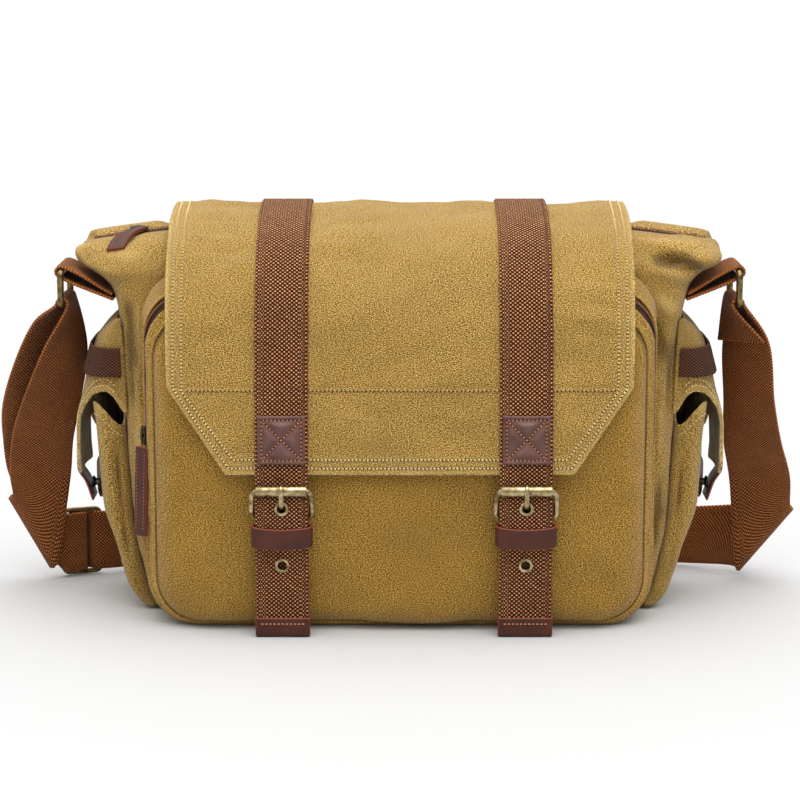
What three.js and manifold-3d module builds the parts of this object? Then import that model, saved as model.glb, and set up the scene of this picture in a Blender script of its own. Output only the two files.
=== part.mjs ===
// Camera messenger bag: canvas body, zipped front pocket, buckled flap, side pockets, shoulder strap.
// Millimetres. +Z is up, -Y is the front, and the origin lies on the bag's flat underside.
import * as THREE from 'three';
import { mergeVertices } from 'three/addons/utils/BufferGeometryUtils.js';
import Module from 'manifold-3d';

const wasm = await Module();
wasm.setup();

// Clearance between two pieces that touch.
const GAP = 0.3;

// Main body: a canvas box whose top corners spread into two wings.
const bodyHalfWidth = 178;
const bodyHeight = 245;
const bodyFront = 28;
const bodyBack = 62;
const bodyCorner = 12;
const bodyWall = 2.4;
const crownRise = 12;

// Zip along the roof.
const topZipY = 20;
const topZipWidth = 12.4;
const topZipHalfLength = 202;
const zipThickness = 1.6;

// Front pocket, with a zip round its sides and top.
const pocketHalfWidth = 163;
const pocketTop = 226;
const pocketBottom = 2;
const pocketDepth = 49.5;
const pocketCorner = 28;
const pocketWall = 1.8;
const pocketZipLow = 118;

// Main flap.
const flapHalfWidth = 148;
const flapRidge = 264;
const flapFront = 84;
const flapThickness = 2.4;

// Zip sliders and the leather pulls on them.
const topSliderInset = 30;
const sliderLength = 12;
const sliderWidth = 8;
const sliderHeight = 3.2;
const pullWidth = 10;
const pullThickness = 2.4;
const pullLength = 55;

// Closing straps and their roller buckles.
const closingStrapCentres = [-74.5, 79.5];
const closingStrapWidth = 32;
const webbing = 1.8;
const leather = 1.6;
const patchSide = 30;
const patchCentreZ = 127.6;
const rollerZ = 96;
const heelZ = 77;
const strapBehindRoller = 86.4;
const strapOverHeel = 89.7;
const buckleOuterWidth = 41.7;
const buckleWire = 1.9;
const buckleCorner = 3;
const rollerRadius = 3.5;
const rollerLength = 32.4;
const prongWidth = 3.2;
const prongThickness = 1.8;
const prongHookAngles = [60, -195];
const prongRestAngles = [215, 125];
const eyeletHeights = [84.8, 47.2];
const eyeletBore = 2.8;
const eyeletBarrel = 0.6;
const eyeletFlange = 4.6;
const eyeletRim = 0.7;
const keeperHeight = 12;
const keeperWidth = 38.8;
const keeperCorner = 3.5;
const tipHeight = 12;
const tipClearance = 0.2;
const chapeLow = 42;

// Side pockets and their flaps.
const sidePocketReach = 197;
const sidePocketMouth = 138;
const sidePocketFront = 22;
const sidePocketBack = 56;
const sidePocketBottom = 2.5;
const sidePocketWall = 1.6;
const sideFlapStandOff = 16.6;
const sideFlapTop = 194.5;
const sideFlapLow = 89.7;
const sideFlapThickness = 2;
const sideTabWidth = 20;
const sideTabLow = 68;
const sideTabTop = 104;
const snapZ = 78;
const snapRadius = 4;

// Rectangular rings that carry the shoulder strap.
const ringStandOff = 41;
const ringTopZ = 225;
const ringLowZ = 203.5;
const ringWire = 2.2;
const ringCorner = 3;
const ringTabRootZ = 209;

// Shoulder strap.
const strapWidth = 40;
const strapThickness = 1.8;
const ringSideClearance = 0.8;
const sliderCentre = [-221.5, 67.5];
const sliderBarSpacing = 13;
const sliderBar = 1.6;
const sliderLow = 2.2;
const sliderCorner = 3;

// Sizes that follow from the others.
const topSliderX = -(topZipHalfLength - topSliderInset);
const sideFlapReach = sidePocketReach + sideFlapStandOff;
const ringReach = bodyHalfWidth + ringStandOff;

// Sides of round bars, and of round holes and turned pieces.
const wireSides = 6;
const roundSides = 12;

const canvasColour = 0x9c7a3c;
const webbingColour = 0x6b3c1f;
const leatherColour = 0x5b3a33;
const brassColour = 0x8a7748;
const zipColour = 0x5a3d22;

const canvas = new THREE.MeshStandardMaterial({ color: canvasColour, roughness: 0.95, metalness: 0 });
const strapping = new THREE.MeshStandardMaterial({ color: webbingColour, roughness: 0.9, metalness: 0 });
const hide = new THREE.MeshStandardMaterial({ color: leatherColour, roughness: 0.6, metalness: 0 });
const brass = new THREE.MeshStandardMaterial({ color: brassColour, roughness: 0.35, metalness: 0.9 });
const zipCloth = new THREE.MeshStandardMaterial({ color: zipColour, roughness: 0.8, metalness: 0 });

const bag = new THREE.Group();

const point = (x, y, z) => new THREE.Vector3(x, y, z);
const blend = THREE.MathUtils.lerp;
const ramp = THREE.MathUtils.smoothstep;

function add(name, geometry, material) {
  const mesh = new THREE.Mesh(geometry, material);
  mesh.name = name;
  bag.add(mesh);
}

// A closed surface from points and triangles, turned so that its faces look outwards.
function closedGeometry(points, triangles) {
  let volume = 0;
  for (const [a, b, c] of triangles) {
    volume += points[a].dot(points[b].clone().cross(points[c]));
  }
  const turned = volume < 0 ? triangles.map(([a, b, c]) => [a, c, b]) : triangles;
  const geometry = new THREE.BufferGeometry().setFromPoints(points);
  geometry.setIndex(turned.flat());
  geometry.computeVertexNormals();
  return geometry;
}

// Joins rings of equally many points in turn. A ring of one point is a pole that closes an end.
function stack(rings, endless = false) {
  const triangles = [];
  const starts = [];
  let total = 0;
  for (const ring of rings) {
    starts.push(total);
    total += ring.length;
  }
  const joins = endless ? rings.length : rings.length - 1;
  for (let i = 0; i < joins; i += 1) {
    const next = (i + 1) % rings.length;
    const count = Math.max(rings[i].length, rings[next].length);
    for (let j = 0; j < count; j += 1) {
      const after = (j + 1) % count;
      const low = starts[i] + (rings[i].length === 1 ? 0 : j);
      const lowAfter = starts[i] + (rings[i].length === 1 ? 0 : after);
      const high = starts[next] + (rings[next].length === 1 ? 0 : j);
      const highAfter = starts[next] + (rings[next].length === 1 ? 0 : after);
      if (low !== lowAfter) triangles.push([low, lowAfter, highAfter]);
      if (high !== highAfter) triangles.push([low, highAfter, high]);
    }
  }
  return closedGeometry(rings.flat(), triangles);
}

// Normals of a grid of points; wrapped grids meet their first column again after the last.
function gridNormals(grid, wrapped = false) {
  return grid.map((row, i) => row.map((_, j) => {
    const above = grid[Math.max(i - 1, 0)][j];
    const below = grid[Math.min(i + 1, grid.length - 1)][j];
    const left = wrapped ? row.at(j - 1) : row[Math.max(j - 1, 0)];
    const right = wrapped ? row[(j + 1) % row.length] : row[Math.min(j + 1, row.length - 1)];
    return below.clone().sub(above).cross(right.clone().sub(left)).normalize();
  }));
}

function offsetGrid(grid, distance, wrapped = false) {
  const normals = gridNormals(grid, wrapped);
  return grid.map((row, i) => row.map((p, j) => p.clone().addScaledVector(normals[i][j], distance)));
}

// A sheet of cloth, webbing or leather between two offsets of one grid of points.
function slab(grid, outer, inner) {
  const outerSide = offsetGrid(grid, outer);
  const innerSide = offsetGrid(grid, inner);
  const rings = outerSide.map((row, i) => [...row, ...innerSide[i].toReversed()]);
  const size = rings[0].length;
  const columns = outerSide[0].length;
  const triangles = [];
  for (let i = 0; i < rings.length - 1; i += 1) {
    for (let j = 0; j < size; j += 1) {
      const after = (j + 1) % size;
      triangles.push([i * size + j, i * size + after, (i + 1) * size + after]);
      triangles.push([i * size + j, (i + 1) * size + after, (i + 1) * size + j]);
    }
  }
  const last = (rings.length - 1) * size;
  for (let j = 0; j < columns - 1; j += 1) {
    const across = size - 1 - j;
    triangles.push([j + 1, j, across], [j + 1, across, across - 1]);
    triangles.push([last + j, last + j + 1, last + across - 1], [last + j, last + across - 1, last + across]);
  }
  return closedGeometry(rings.flat(), triangles);
}

// A cup: an outer skin from its pole to its mouth, and the same skin one wall further in.
function cup(pole, skin, innerPole, wall) {
  const inner = offsetGrid(skin, -wall, true);
  return stack([[pole], ...skin, ...inner.toReversed(), [innerPole]]);
}

// The same solid on the other side of the bag.
function sided(geometry, side) {
  if (side > 0) return geometry;
  const mirrored = geometry.clone().scale(-1, 1, 1);
  mirrored.setIndex([...geometry.index.array].reverse());
  return mirrored;
}

// A round bar bent along a closed path that lies in one plane.
function wireLoop(path, planeNormal, radius) {
  const rings = path.map((centre, i) => {
    const along = path[(i + 1) % path.length].clone().sub(path.at(i - 1)).normalize();
    const across = planeNormal.clone().cross(along).normalize();
    const ring = [];
    for (let k = 0; k < wireSides; k += 1) {
      const angle = (2 * Math.PI * k) / wireSides;
      ring.push(centre.clone()
        .addScaledVector(across, radius * Math.cos(angle))
        .addScaledVector(planeNormal, radius * Math.sin(angle)));
    }
    return ring;
  });
  return stack(rings, true);
}

// A strip of even width along X, following a path of [y, z] points.
function stripAlongX(path, left, right, outer, inner) {
  return slab(path.map(([y, z]) => [point(left, y, z), point(right, y, z)]), outer, inner);
}

// A strip of even width along Y, following a path of [x, z] points.
function stripAlongY(path, front, back, outer, inner) {
  return slab(path.map(([x, z]) => [point(x, front, z), point(x, back, z)]), outer, inner);
}

// Points on an arc round a centre, angles in degrees.
function arcPoints([x, y], radius, from, to, steps) {
  const points = [];
  for (let i = 0; i <= steps; i += 1) {
    const angle = THREE.MathUtils.degToRad(blend(from, to, i / steps));
    points.push([x + radius * Math.cos(angle), y + radius * Math.sin(angle)]);
  }
  return points;
}

function toManifold(geometry) {
  const bare = geometry.clone();
  bare.deleteAttribute('normal');
  bare.deleteAttribute('uv');
  const merged = mergeVertices(bare, 1e-4);
  return new wasm.Manifold(new wasm.Mesh({
    numProp: 3,
    vertProperties: new Float32Array(merged.attributes.position.array),
    triVerts: new Uint32Array(merged.index.array),
  }));
}

function fromManifold(manifold) {
  const mesh = manifold.getMesh();
  const geometry = new THREE.BufferGeometry();
  geometry.setAttribute('position', new THREE.BufferAttribute(mesh.vertProperties, 3));
  geometry.setIndex(new THREE.BufferAttribute(mesh.triVerts, 1));
  geometry.computeVertexNormals();
  return geometry;
}

function cut(geometry, cutters) {
  let result = toManifold(geometry);
  for (const cutter of cutters) {
    result = result.subtract(toManifold(cutter));
  }
  return fromManifold(result);
}

// A table row between two rows, found by its first column.
function rowAt(table, key) {
  let i = 1;
  while (i < table.length - 1 && table[i][0] < key) i += 1;
  const share = THREE.MathUtils.clamp((key - table[i - 1][0]) / (table[i][0] - table[i - 1][0]), 0, 1);
  return table[i].map((value, column) => blend(table[i - 1][column], value, share));
}

// Points round a box outline with rounded corners, the same number on every outline.
// The outline starts at its low left corner and runs right, up, left and down.
function boxOutline(left, right, low, high, radius, across, along) {
  const cornerSteps = 3;
  const corners = [
    [right - radius, low + radius, -90, across],
    [right - radius, high - radius, 0, along],
    [left + radius, high - radius, 90, across],
    [left + radius, low + radius, 180, along],
  ];
  const outline = [];
  let previous = [left + radius, low];
  for (const [x, y, from, steps] of corners) {
    const start = THREE.MathUtils.degToRad(from);
    const entry = [x + radius * Math.cos(start), y + radius * Math.sin(start)];
    for (let i = 1; i < steps; i += 1) {
      outline.push([blend(previous[0], entry[0], i / steps), blend(previous[1], entry[1], i / steps)]);
    }
    for (let i = 0; i <= cornerSteps; i += 1) {
      const angle = start + (i / cornerSteps) * Math.PI / 2;
      outline.push([x + radius * Math.cos(angle), y + radius * Math.sin(angle)]);
    }
    previous = outline.at(-1);
  }
  return outline;
}

// Main body

// Rise is a share of the body's height, reach of its half width, front and back of their own depths.
// Crown is how far the row takes part in the roof's rise towards the middle.
const bodyRows = [
  // rise, reach, front, back, crown
  [0, 0.86, 0.6, 0.86, 0],
  [0.012, 0.895, 0.85, 0.93, 0],
  [0.04, 0.925, 0.96, 0.97, 0],
  [0.12, 0.955, 1, 1, 0],
  [0.24, 0.985, 1, 1, 0],
  [0.44, 1, 1, 1, 0],
  [0.65, 1.01, 1, 1, 0],
  [0.78, 1.02, 1, 1, 0],
  [0.86, 1.04, 1, 1, 0.2],
  [0.91, 1.09, 1, 1, 0.5],
  [0.955, 1.16, 0.72, 0.93, 0.8],
  [0.985, 1.175, 0.42, 0.88, 0.95],
  [1, 1.165, 0, 0.8, 1],
];
// Folds of the wings: side, height share, spread share, push out of the front as a share of its depth.
const wingFolds = [
  [1, 0.965, 0.03, 0.3],
  [1, 0.9, 0.035, -0.3],
  [-1, 0.88, 0.03, -0.12],
];
const acrossSteps = 7;
const bodySideSteps = 3;
const pocketSideSteps = 5;

function bodyReach(z) {
  return rowAt(bodyRows, z / bodyHeight)[1] * bodyHalfWidth;
}

function crownAt(x) {
  return crownRise * (1 - (x / bodyHalfWidth) ** 2);
}

function foldPush(x, rise) {
  let push = 0;
  for (const [side, height, spread, depth] of wingFolds) {
    const outward = ramp(side * x, 0.93 * bodyHalfWidth, 1.08 * bodyHalfWidth);
    push += outward * depth * bodyFront * Math.exp(-(((rise - height) / spread) ** 2));
  }
  return push;
}

function bodyRing([rise, reach, front, back, crown]) {
  const half = reach * bodyHalfWidth;
  const outline = boxOutline(
    -half, half, -front * bodyFront, back * bodyBack, bodyCorner, acrossSteps, bodySideSteps,
  );
  return outline.reverse().map(([x, y]) => {
    const forward = foldPush(x, rise) * ramp(topZipY - y, 0, topZipY);
    return point(x, y - forward, rise * bodyHeight + crown * crownAt(x));
  });
}

function roofMouth() {
  const half = topZipWidth / 2 + GAP;
  const outline = boxOutline(
    -topZipHalfLength - GAP, topZipHalfLength + GAP,
    topZipY - half, topZipY + half, 2 * GAP, acrossSteps, bodySideSteps,
  );
  return outline.reverse().map(([x, y]) => point(x, y, bodyHeight + crownAt(x)));
}

function mainBody() {
  const skin = bodyRows.map(bodyRing);
  skin.push(roofMouth());
  return cup(point(0, topZipY, 0), skin, point(0, topZipY, bodyWall), bodyWall);
}

function topZip() {
  const rows = [];
  const steps = 12;
  for (let i = 0; i <= steps; i += 1) {
    const x = blend(-topZipHalfLength, topZipHalfLength, i / steps);
    const z = bodyHeight + crownAt(x);
    rows.push([point(x, topZipY - topZipWidth / 2, z), point(x, topZipY + topZipWidth / 2, z)]);
  }
  return slab(rows, 0, -zipThickness);
}

add('main_body', mainBody(), canvas);
add('top_zip', topZip(), zipCloth);

// Height of the roof in front of its zip, from the rows that it is built from.
function roofHeight(x, y) {
  const slope = bodyRows.slice(-3).toReversed();
  const table = [[-topZipY + topZipWidth / 2, bodyHeight + crownAt(x)]];
  for (const [rise, , front, , crown] of slope) {
    table.push([front * bodyFront, rise * bodyHeight + crown * crownAt(x)]);
  }
  return rowAt(table, -y)[1];
}

function topSlider() {
  const block = new THREE.BoxGeometry(sliderLength, sliderWidth, sliderHeight);
  const roof = bodyHeight + crownAt(topSliderX + sliderLength / 2);
  return block.translate(topSliderX, topZipY, roof + GAP + sliderHeight / 2);
}

// The pull lies from its slider down the front slope of the left wing.
function topPull() {
  const rows = [
    // forward and sideways, as shares of the pull's length
    [0, 0.02],
    [0.25, 0.1],
    [0.42, 0.16],
    [0.58, 0.22],
  ];
  const start = topZipY - sliderWidth / 2 - GAP;
  const grid = rows.map(([forward, sideways]) => {
    const y = start - forward * pullLength;
    const x = topSliderX - sideways * pullLength;
    return [-1, 1].map((side) => {
      const acrossX = x + (side * pullWidth) / 2;
      return point(acrossX, y, roofHeight(acrossX, y));
    });
  });
  return slab(grid, 5 * GAP + pullThickness, 5 * GAP);
}

add('top_zip_slider', topSlider(), brass);
add('top_zip_pull', topPull(), hide);

// Front pocket

const pocketRows = [
  // depth, reach, top and low rise, as shares of the pocket's depth, half width and top
  [0, 1, 1, 0],
  [0.06, 1, 1, 0],
  [0.38, 0.995, 0.965, 0],
  [0.58, 0.98, 0.925, 0],
  [0.64, 0.96, 0.9, 0.008],
  [0.74, 0.945, 0.865, 0.013],
  [0.81, 0.93, 0.8, 0.022],
  [0.9, 0.88, 0.708, 0.045],
  [0.96, 0.76, 0.61, 0.12],
  [0.99, 0.5, 0.522, 0.24],
];
const pocketZipDepths = [0.4, 0.56];

function pocketY(depth) {
  return -(bodyFront + GAP + depth * pocketDepth);
}

function pocketRing([depth, reach, top, low]) {
  const half = reach * pocketHalfWidth;
  const bottom = pocketBottom + low * pocketTop;
  const high = top * pocketTop;
  const outline = boxOutline(-half, half, bottom, high, pocketCorner, acrossSteps, pocketSideSteps);
  return outline.map(([x, z]) => point(x, pocketY(depth), z));
}

// The arch of the zip at one depth: up the left side, over the top and down the right side.
function zipArch(depth, low) {
  const [, reach, top] = rowAt(pocketRows, depth);
  const half = reach * pocketHalfWidth;
  const high = top * pocketTop;
  const sideSteps = 3;
  const topSteps = 6;
  const arch = [];
  for (let i = 0; i < sideSteps; i += 1) {
    arch.push([-half, blend(low, high - pocketCorner, i / sideSteps)]);
  }
  arch.push(...arcPoints([-half + pocketCorner, high - pocketCorner], pocketCorner, 180, 90, 4));
  for (let i = 1; i < topSteps; i += 1) {
    arch.push([blend(-half + pocketCorner, half - pocketCorner, i / topSteps), high]);
  }
  arch.push(...arcPoints([half - pocketCorner, high - pocketCorner], pocketCorner, 90, 0, 4));
  for (let i = 1; i <= sideSteps; i += 1) {
    arch.push([half, blend(high - pocketCorner, low, i / sideSteps)]);
  }
  return arch.map(([x, z]) => point(x, pocketY(depth), z));
}

function zipGrid(margin, low) {
  const [rear, front] = pocketZipDepths;
  const frontArch = zipArch(front - margin / pocketDepth, low);
  const rearArch = zipArch(rear + margin / pocketDepth, low);
  return frontArch.map((p, i) => [p, rearArch[i]]);
}

function frontPocket() {
  const skin = pocketRows.toReversed().map(pocketRing);
  const centreZ = 0.4 * pocketTop;
  const pole = point(0, pocketY(1), centreZ);
  const innerPole = point(0, pocketY(1) + pocketWall, centreZ);
  const shell = cup(pole, skin, innerPole, pocketWall);
  const slot = slab(zipGrid(0, pocketZipLow), 2 * pocketWall, -3 * pocketWall);
  return cut(shell, [slot]);
}

function frontZip() {
  return slab(zipGrid(2 * GAP, pocketZipLow + GAP), 0, -zipThickness);
}

// How far out the zip lies at the low end of its left side.
const zipMiddle = (pocketZipDepths[0] + pocketZipDepths[1]) / 2;
const zipReach = rowAt(pocketRows, pocketZipDepths[0])[1] * pocketHalfWidth;

function frontSlider() {
  const block = new THREE.BoxGeometry(sliderHeight, sliderWidth, sliderLength);
  return block.translate(
    -(zipReach + 2 * GAP + sliderHeight / 2), pocketY(zipMiddle), pocketZipLow + sliderLength / 2,
  );
}

function frontPull() {
  const x = -(zipReach + 2 * GAP + pullThickness / 2);
  const top = pocketZipLow - GAP;
  const y = pocketY(zipMiddle);
  const path = [[x, top], [x, top - pullLength / 2], [x, top - pullLength]];
  return stripAlongY(path, y - pullWidth / 2, y + pullWidth / 2, pullThickness / 2, -pullThickness / 2);
}

add('front_pocket', frontPocket(), canvas);
add('front_zip', frontZip(), zipCloth);
add('front_zip_slider', frontSlider(), brass);
add('front_zip_pull', frontPull(), hide);

// Main flap

const flapRows = [
  // back share, front share, height share, half width share
  [1, 0, 0.856, 1],
  [1, 0, 0.909, 1],
  [0.927, 0, 0.962, 1],
  [0.773, 0, 0.989, 1],
  [0.541, 0, 1, 1],
  [0.155, 0, 0.992, 1],
  [0, 0.119, 0.975, 1],
  [0, 0.298, 0.955, 0.998],
  [0, 0.476, 0.92, 0.997],
  [0, 0.619, 0.867, 0.996],
  [0, 0.738, 0.803, 0.994],
  [0, 0.821, 0.739, 0.992],
  [0, 0.905, 0.625, 0.987],
  [0, 0.917, 0.606, 0.985],
  [0, 0.964, 0.511, 0.87],
  [0, 1, 0.402, 0.74],
];
const flapColumns = 8;

// The flap's outer face, seen from the side.
const flapProfile = flapRows.map(([back, front, height]) => [
  back * (bodyBack + GAP + flapThickness) - front * flapFront,
  height * flapRidge,
]);

function mainFlap() {
  const grid = flapRows.map(([, , , reach], i) => {
    const [y, z] = flapProfile[i];
    const row = [];
    for (let j = 0; j <= flapColumns; j += 1) {
      row.push(point(blend(-1, 1, j / flapColumns) * reach * flapHalfWidth, y, z));
    }
    return row;
  });
  return slab(grid, 0, -flapThickness);
}

add('main_flap', mainFlap(), canvas);

// Closing straps

const heelY = -(strapOverHeel - webbing - GAP - webbing - GAP - buckleWire);
const rollerY = -(strapBehindRoller + GAP + rollerRadius);
const panelY = pocketY(1);
const stripHalf = closingStrapWidth / 2;

const strapHang = [
  // forward share from behind the roller to over the heel bar, share of the buckle, share of heel height
  [0, 1.28, 1],
  [0, 1, 1],
  [0.05, 0.93, 1],
  [0.55, 0.82, 1],
  [1, 0.72, 1],
  [1, 0.25, 1],
  [1, 0, 1],
  [0.95, 0, 0.9],
  [0.6, 0, 0.8],
  [0.12, 0, 0.72],
  [-0.1, 0, 0.54],
  [-0.15, 0, 0.4],
  [-0.25, 0, 0.16],
];
const tipInside = tipClearance + leather + GAP + webbing / 2;
const strapEndY = -(strapBehindRoller - 0.25 * (strapOverHeel - strapBehindRoller));

// Outer face of a closing strap: over the flap, behind the roller, over the heel bar and down.
function strapFace() {
  const onFlap = offsetGrid(
    flapProfile.map(([y, z]) => [point(-1, y, z), point(1, y, z)]), GAP + webbing,
  ).map(([p]) => [p.y, p.z]);
  const hanging = strapHang.map(([forward, buckleShare, heelShare]) => [
    -blend(strapBehindRoller, strapOverHeel, forward),
    buckleShare * (rollerZ - heelZ) + heelShare * heelZ,
  ]);
  return [...onFlap, ...hanging, [strapEndY, tipInside]];
}

const face = strapFace();

// Where a strap's outer face lies at a height in front of the bag, and how it leans there.
function faceAt(z) {
  const front = face.filter(([y, height]) => y < 0 && height < 0.9 * flapRidge);
  const i = front.findIndex(([, height]) => height < z);
  const [highY, highZ] = front[i - 1];
  const [lowY, lowZ] = front[i];
  const y = blend(highY, lowY, (highZ - z) / (highZ - lowZ));
  return { y, lean: Math.atan2(lowY - highY, highZ - lowZ) };
}

function eyeletPlace(centre, z) {
  const { y, lean } = faceAt(z);
  return new THREE.Matrix4()
    .makeTranslation(centre, y + webbing / 2, z)
    .multiply(new THREE.Matrix4().makeRotationX(lean));
}

function closingStrap(centre) {
  const strip = stripAlongX(face, centre - stripHalf, centre + stripHalf, 0, -webbing);
  const bore = eyeletBore + eyeletBarrel + GAP;
  const holes = eyeletHeights.map((z) => (
    new THREE.CylinderGeometry(bore, bore, 4 * webbing, roundSides).applyMatrix4(eyeletPlace(centre, z))
  ));
  return cut(strip, holes);
}

function eyelet(centre, z) {
  const half = webbing / 2 + GAP + eyeletRim;
  const barrel = eyeletBore + eyeletBarrel;
  const profile = [
    [eyeletBore, -half],
    [eyeletFlange, -half],
    [eyeletFlange, -half + eyeletRim],
    [barrel, -half + eyeletRim],
    [barrel, half - eyeletRim / 2],
    [eyeletFlange, half - eyeletRim / 2],
    [eyeletFlange, half],
    [eyeletBore, half],
    [eyeletBore, -half],
  ];
  const ring = new THREE.LatheGeometry(profile.map(([x, y]) => new THREE.Vector2(x, y)), roundSides);
  return ring.applyMatrix4(eyeletPlace(centre, z));
}

// The leather patch follows the strap on the flap, with a row wherever the flap bends.
function patch(centre) {
  const high = patchCentreZ + patchSide / 2;
  const low = patchCentreZ - patchSide / 2;
  const bends = face.filter(([y, z]) => y < 0 && z < high && z > low);
  const path = [[faceAt(high).y, high], ...bends, [faceAt(low).y, low]];
  return stripAlongX(path, centre - patchSide / 2, centre + patchSide / 2, GAP + leather, GAP);
}

function buckleFrame(centre) {
  const up = point(0, rollerY - heelY, rollerZ - heelZ);
  const height = up.length();
  up.normalize();
  const half = buckleOuterWidth / 2 - buckleWire;
  const path = boxOutline(-half, half, 0, height, buckleCorner, 1, 1).map(([x, rise]) => (
    point(centre + x, heelY, heelZ).addScaledVector(up, rise)
  ));
  return wireLoop(path, point(1, 0, 0).cross(up), buckleWire);
}

function roller(centre) {
  const half = rollerLength / 2;
  const bore = buckleWire + GAP;
  const profile = [[bore, -half], [rollerRadius, -half], [rollerRadius, half], [bore, half], [bore, -half]];
  const tube = new THREE.LatheGeometry(profile.map(([x, y]) => new THREE.Vector2(x, y)), roundSides);
  return tube.rotateZ(Math.PI / 2).translate(centre, rollerY, rollerZ);
}

// The prong hooks round the heel bar, comes through the upper eyelet and rests on the roller.
function prong(centre) {
  const hook = buckleWire + GAP + prongThickness / 2;
  const rest = rollerRadius + GAP + prongThickness / 2;
  const holeY = -(strapOverHeel - webbing / 2);
  const holeZ = eyeletHeights[0];
  const path = [
    ...arcPoints([heelY, heelZ], hook, ...prongHookAngles, 9),
    [holeY + 1.95 * webbing, holeZ - 2.2 * webbing],
    [holeY + 1.6 * webbing, holeZ - webbing],
    [holeY + 0.8 * webbing, holeZ - 0.35 * webbing],
    [holeY - 0.8 * webbing, holeZ + 0.25 * webbing],
    [holeY - 2.2 * webbing, holeZ + 1.8 * webbing],
    ...arcPoints([rollerY, rollerZ], rest, ...prongRestAngles, 3),
  ];
  const half = prongWidth / 2;
  return stripAlongX(path, centre - half, centre + half, prongThickness / 2, -prongThickness / 2);
}

const keeperTop = heelZ - buckleWire - GAP - prongThickness - GAP;
const wrapRadius = buckleWire + GAP + webbing / 2;

// The webbing that holds the buckle: up the pocket, round the heel bar and down again.
function chape(centre) {
  const half = stripHalf - 2 * GAP - buckleWire / 4;
  const rearY = panelY - GAP - webbing / 2;
  const drop = heelZ - chapeLow;
  const path = [
    [rearY, chapeLow],
    [rearY, heelZ - 0.45 * drop],
    [blend(rearY, heelY + wrapRadius, 0.6), heelZ - 0.2 * drop],
    ...arcPoints([heelY, heelZ], wrapRadius, 0, 180, 6),
    [heelY - 0.84 * wrapRadius, heelZ - 0.2 * drop],
    [heelY - 0.32 * wrapRadius, heelZ - 0.42 * drop],
    [rearY - webbing - 4 * GAP, heelZ - 0.75 * drop],
    [rearY - webbing - GAP, heelZ - 0.94 * drop],
  ];
  const strip = stripAlongX(path, centre - half, centre + half, webbing / 2, -webbing / 2);
  const slotWidth = prongWidth + 4 * GAP;
  const slotHeight = 2 * (wrapRadius + webbing);
  const slot = new THREE.BoxGeometry(slotWidth, slotHeight, slotHeight).translate(centre, heelY, heelZ);
  return cut(strip, [slot]);
}

// The leather loop below the buckle, round the strap and inside the chape's fold.
function keeper(centre) {
  const half = keeperWidth / 2;
  const rearY = heelY + buckleWire;
  const frontY = -(strapOverHeel + GAP + leather);
  const outer = boxOutline(centre - half, centre + half, frontY, rearY, keeperCorner, 2, 1);
  const inner = boxOutline(
    centre - half + leather, centre + half - leather,
    frontY + leather, rearY - leather, keeperCorner - leather, 2, 1,
  );
  const rings = outer.map(([x, y], i) => {
    const [innerX, innerY] = inner[i];
    return [
      point(x, y, keeperTop - keeperHeight),
      point(x, y, keeperTop),
      point(innerX, innerY, keeperTop),
      point(innerX, innerY, keeperTop - keeperHeight),
    ];
  });
  return stack(rings, true);
}

// The leather that is folded round the strap's end.
function strapTip(centre) {
  const half = stripHalf + 2.5 * GAP;
  const fold = webbing / 2 + GAP + leather / 2;
  const middleY = strapEndY + webbing / 2;
  const foldZ = tipClearance + leather / 2 + fold;
  const path = [
    [middleY - fold, tipClearance + tipHeight],
    ...arcPoints([middleY, foldZ], fold, 180, 360, 4),
    [middleY + fold, tipClearance + tipHeight],
  ];
  return stripAlongX(path, centre - half, centre + half, leather / 2, -leather / 2);
}

closingStrapCentres.forEach((centre, i) => {
  const side = ['left', 'right'][i];
  add(`closing_strap_${side}`, closingStrap(centre), strapping);
  add(`strap_patch_${side}`, patch(centre), hide);
  eyeletHeights.forEach((z, k) => add(`eyelet_${side}_${k + 1}`, eyelet(centre, z), brass));
  add(`buckle_frame_${side}`, buckleFrame(centre), brass);
  add(`buckle_roller_${side}`, roller(centre), brass);
  add(`buckle_prong_${side}`, prong(centre), brass);
  add(`buckle_chape_${side}`, chape(centre), strapping);
  add(`strap_keeper_${side}`, keeper(centre), hide);
  add(`strap_tip_${side}`, strapTip(centre), hide);
});

// Side pockets, their flaps and the ring tabs, made for the right side and mirrored for the left

const sidePocketRows = [
  // height share of the mouth, reach share
  [0, 0.9],
  [0.03, 0.93],
  [0.2, 0.95],
  [0.5, 1],
  [0.76, 1],
  [1, 1.02],
];
const sideCentreY = (sidePocketBack - sidePocketFront) / 2;
const sidePocketHalf = (sidePocketBack + sidePocketFront) / 2;
const mouthDip = 7;
const sidePocketCorner = 7;

function sidePocket(side) {
  const bends = bodyRows.map(([rise]) => rise * bodyHeight);
  const between = bends.filter((z) => z > sidePocketBottom && z < sidePocketMouth - mouthDip);
  const heights = [sidePocketBottom, ...between, sidePocketMouth];
  const skin = heights.map((z) => {
    const reach = rowAt(sidePocketRows, z / sidePocketMouth)[1] * sidePocketReach;
    const near = bodyReach(z) + GAP;
    const outline = boxOutline(near, reach, -sidePocketFront, sidePocketBack, sidePocketCorner, 1, 3);
    return outline.reverse().map(([x, y]) => {
      const nearEnd = ramp(Math.abs(y - sideCentreY), 0.6 * sidePocketHalf, sidePocketHalf);
      return point(x, y, z === sidePocketMouth ? z - nearEnd * mouthDip : z);
    });
  });
  const middle = (skin[0][0].x + sidePocketReach) / 2 - sidePocketCorner;
  const pole = point(middle, sideCentreY, sidePocketBottom);
  const innerPole = point(middle, sideCentreY, sidePocketBottom + sidePocketWall);
  return sided(cup(pole, skin, innerPole, sidePocketWall), side);
}

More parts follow.
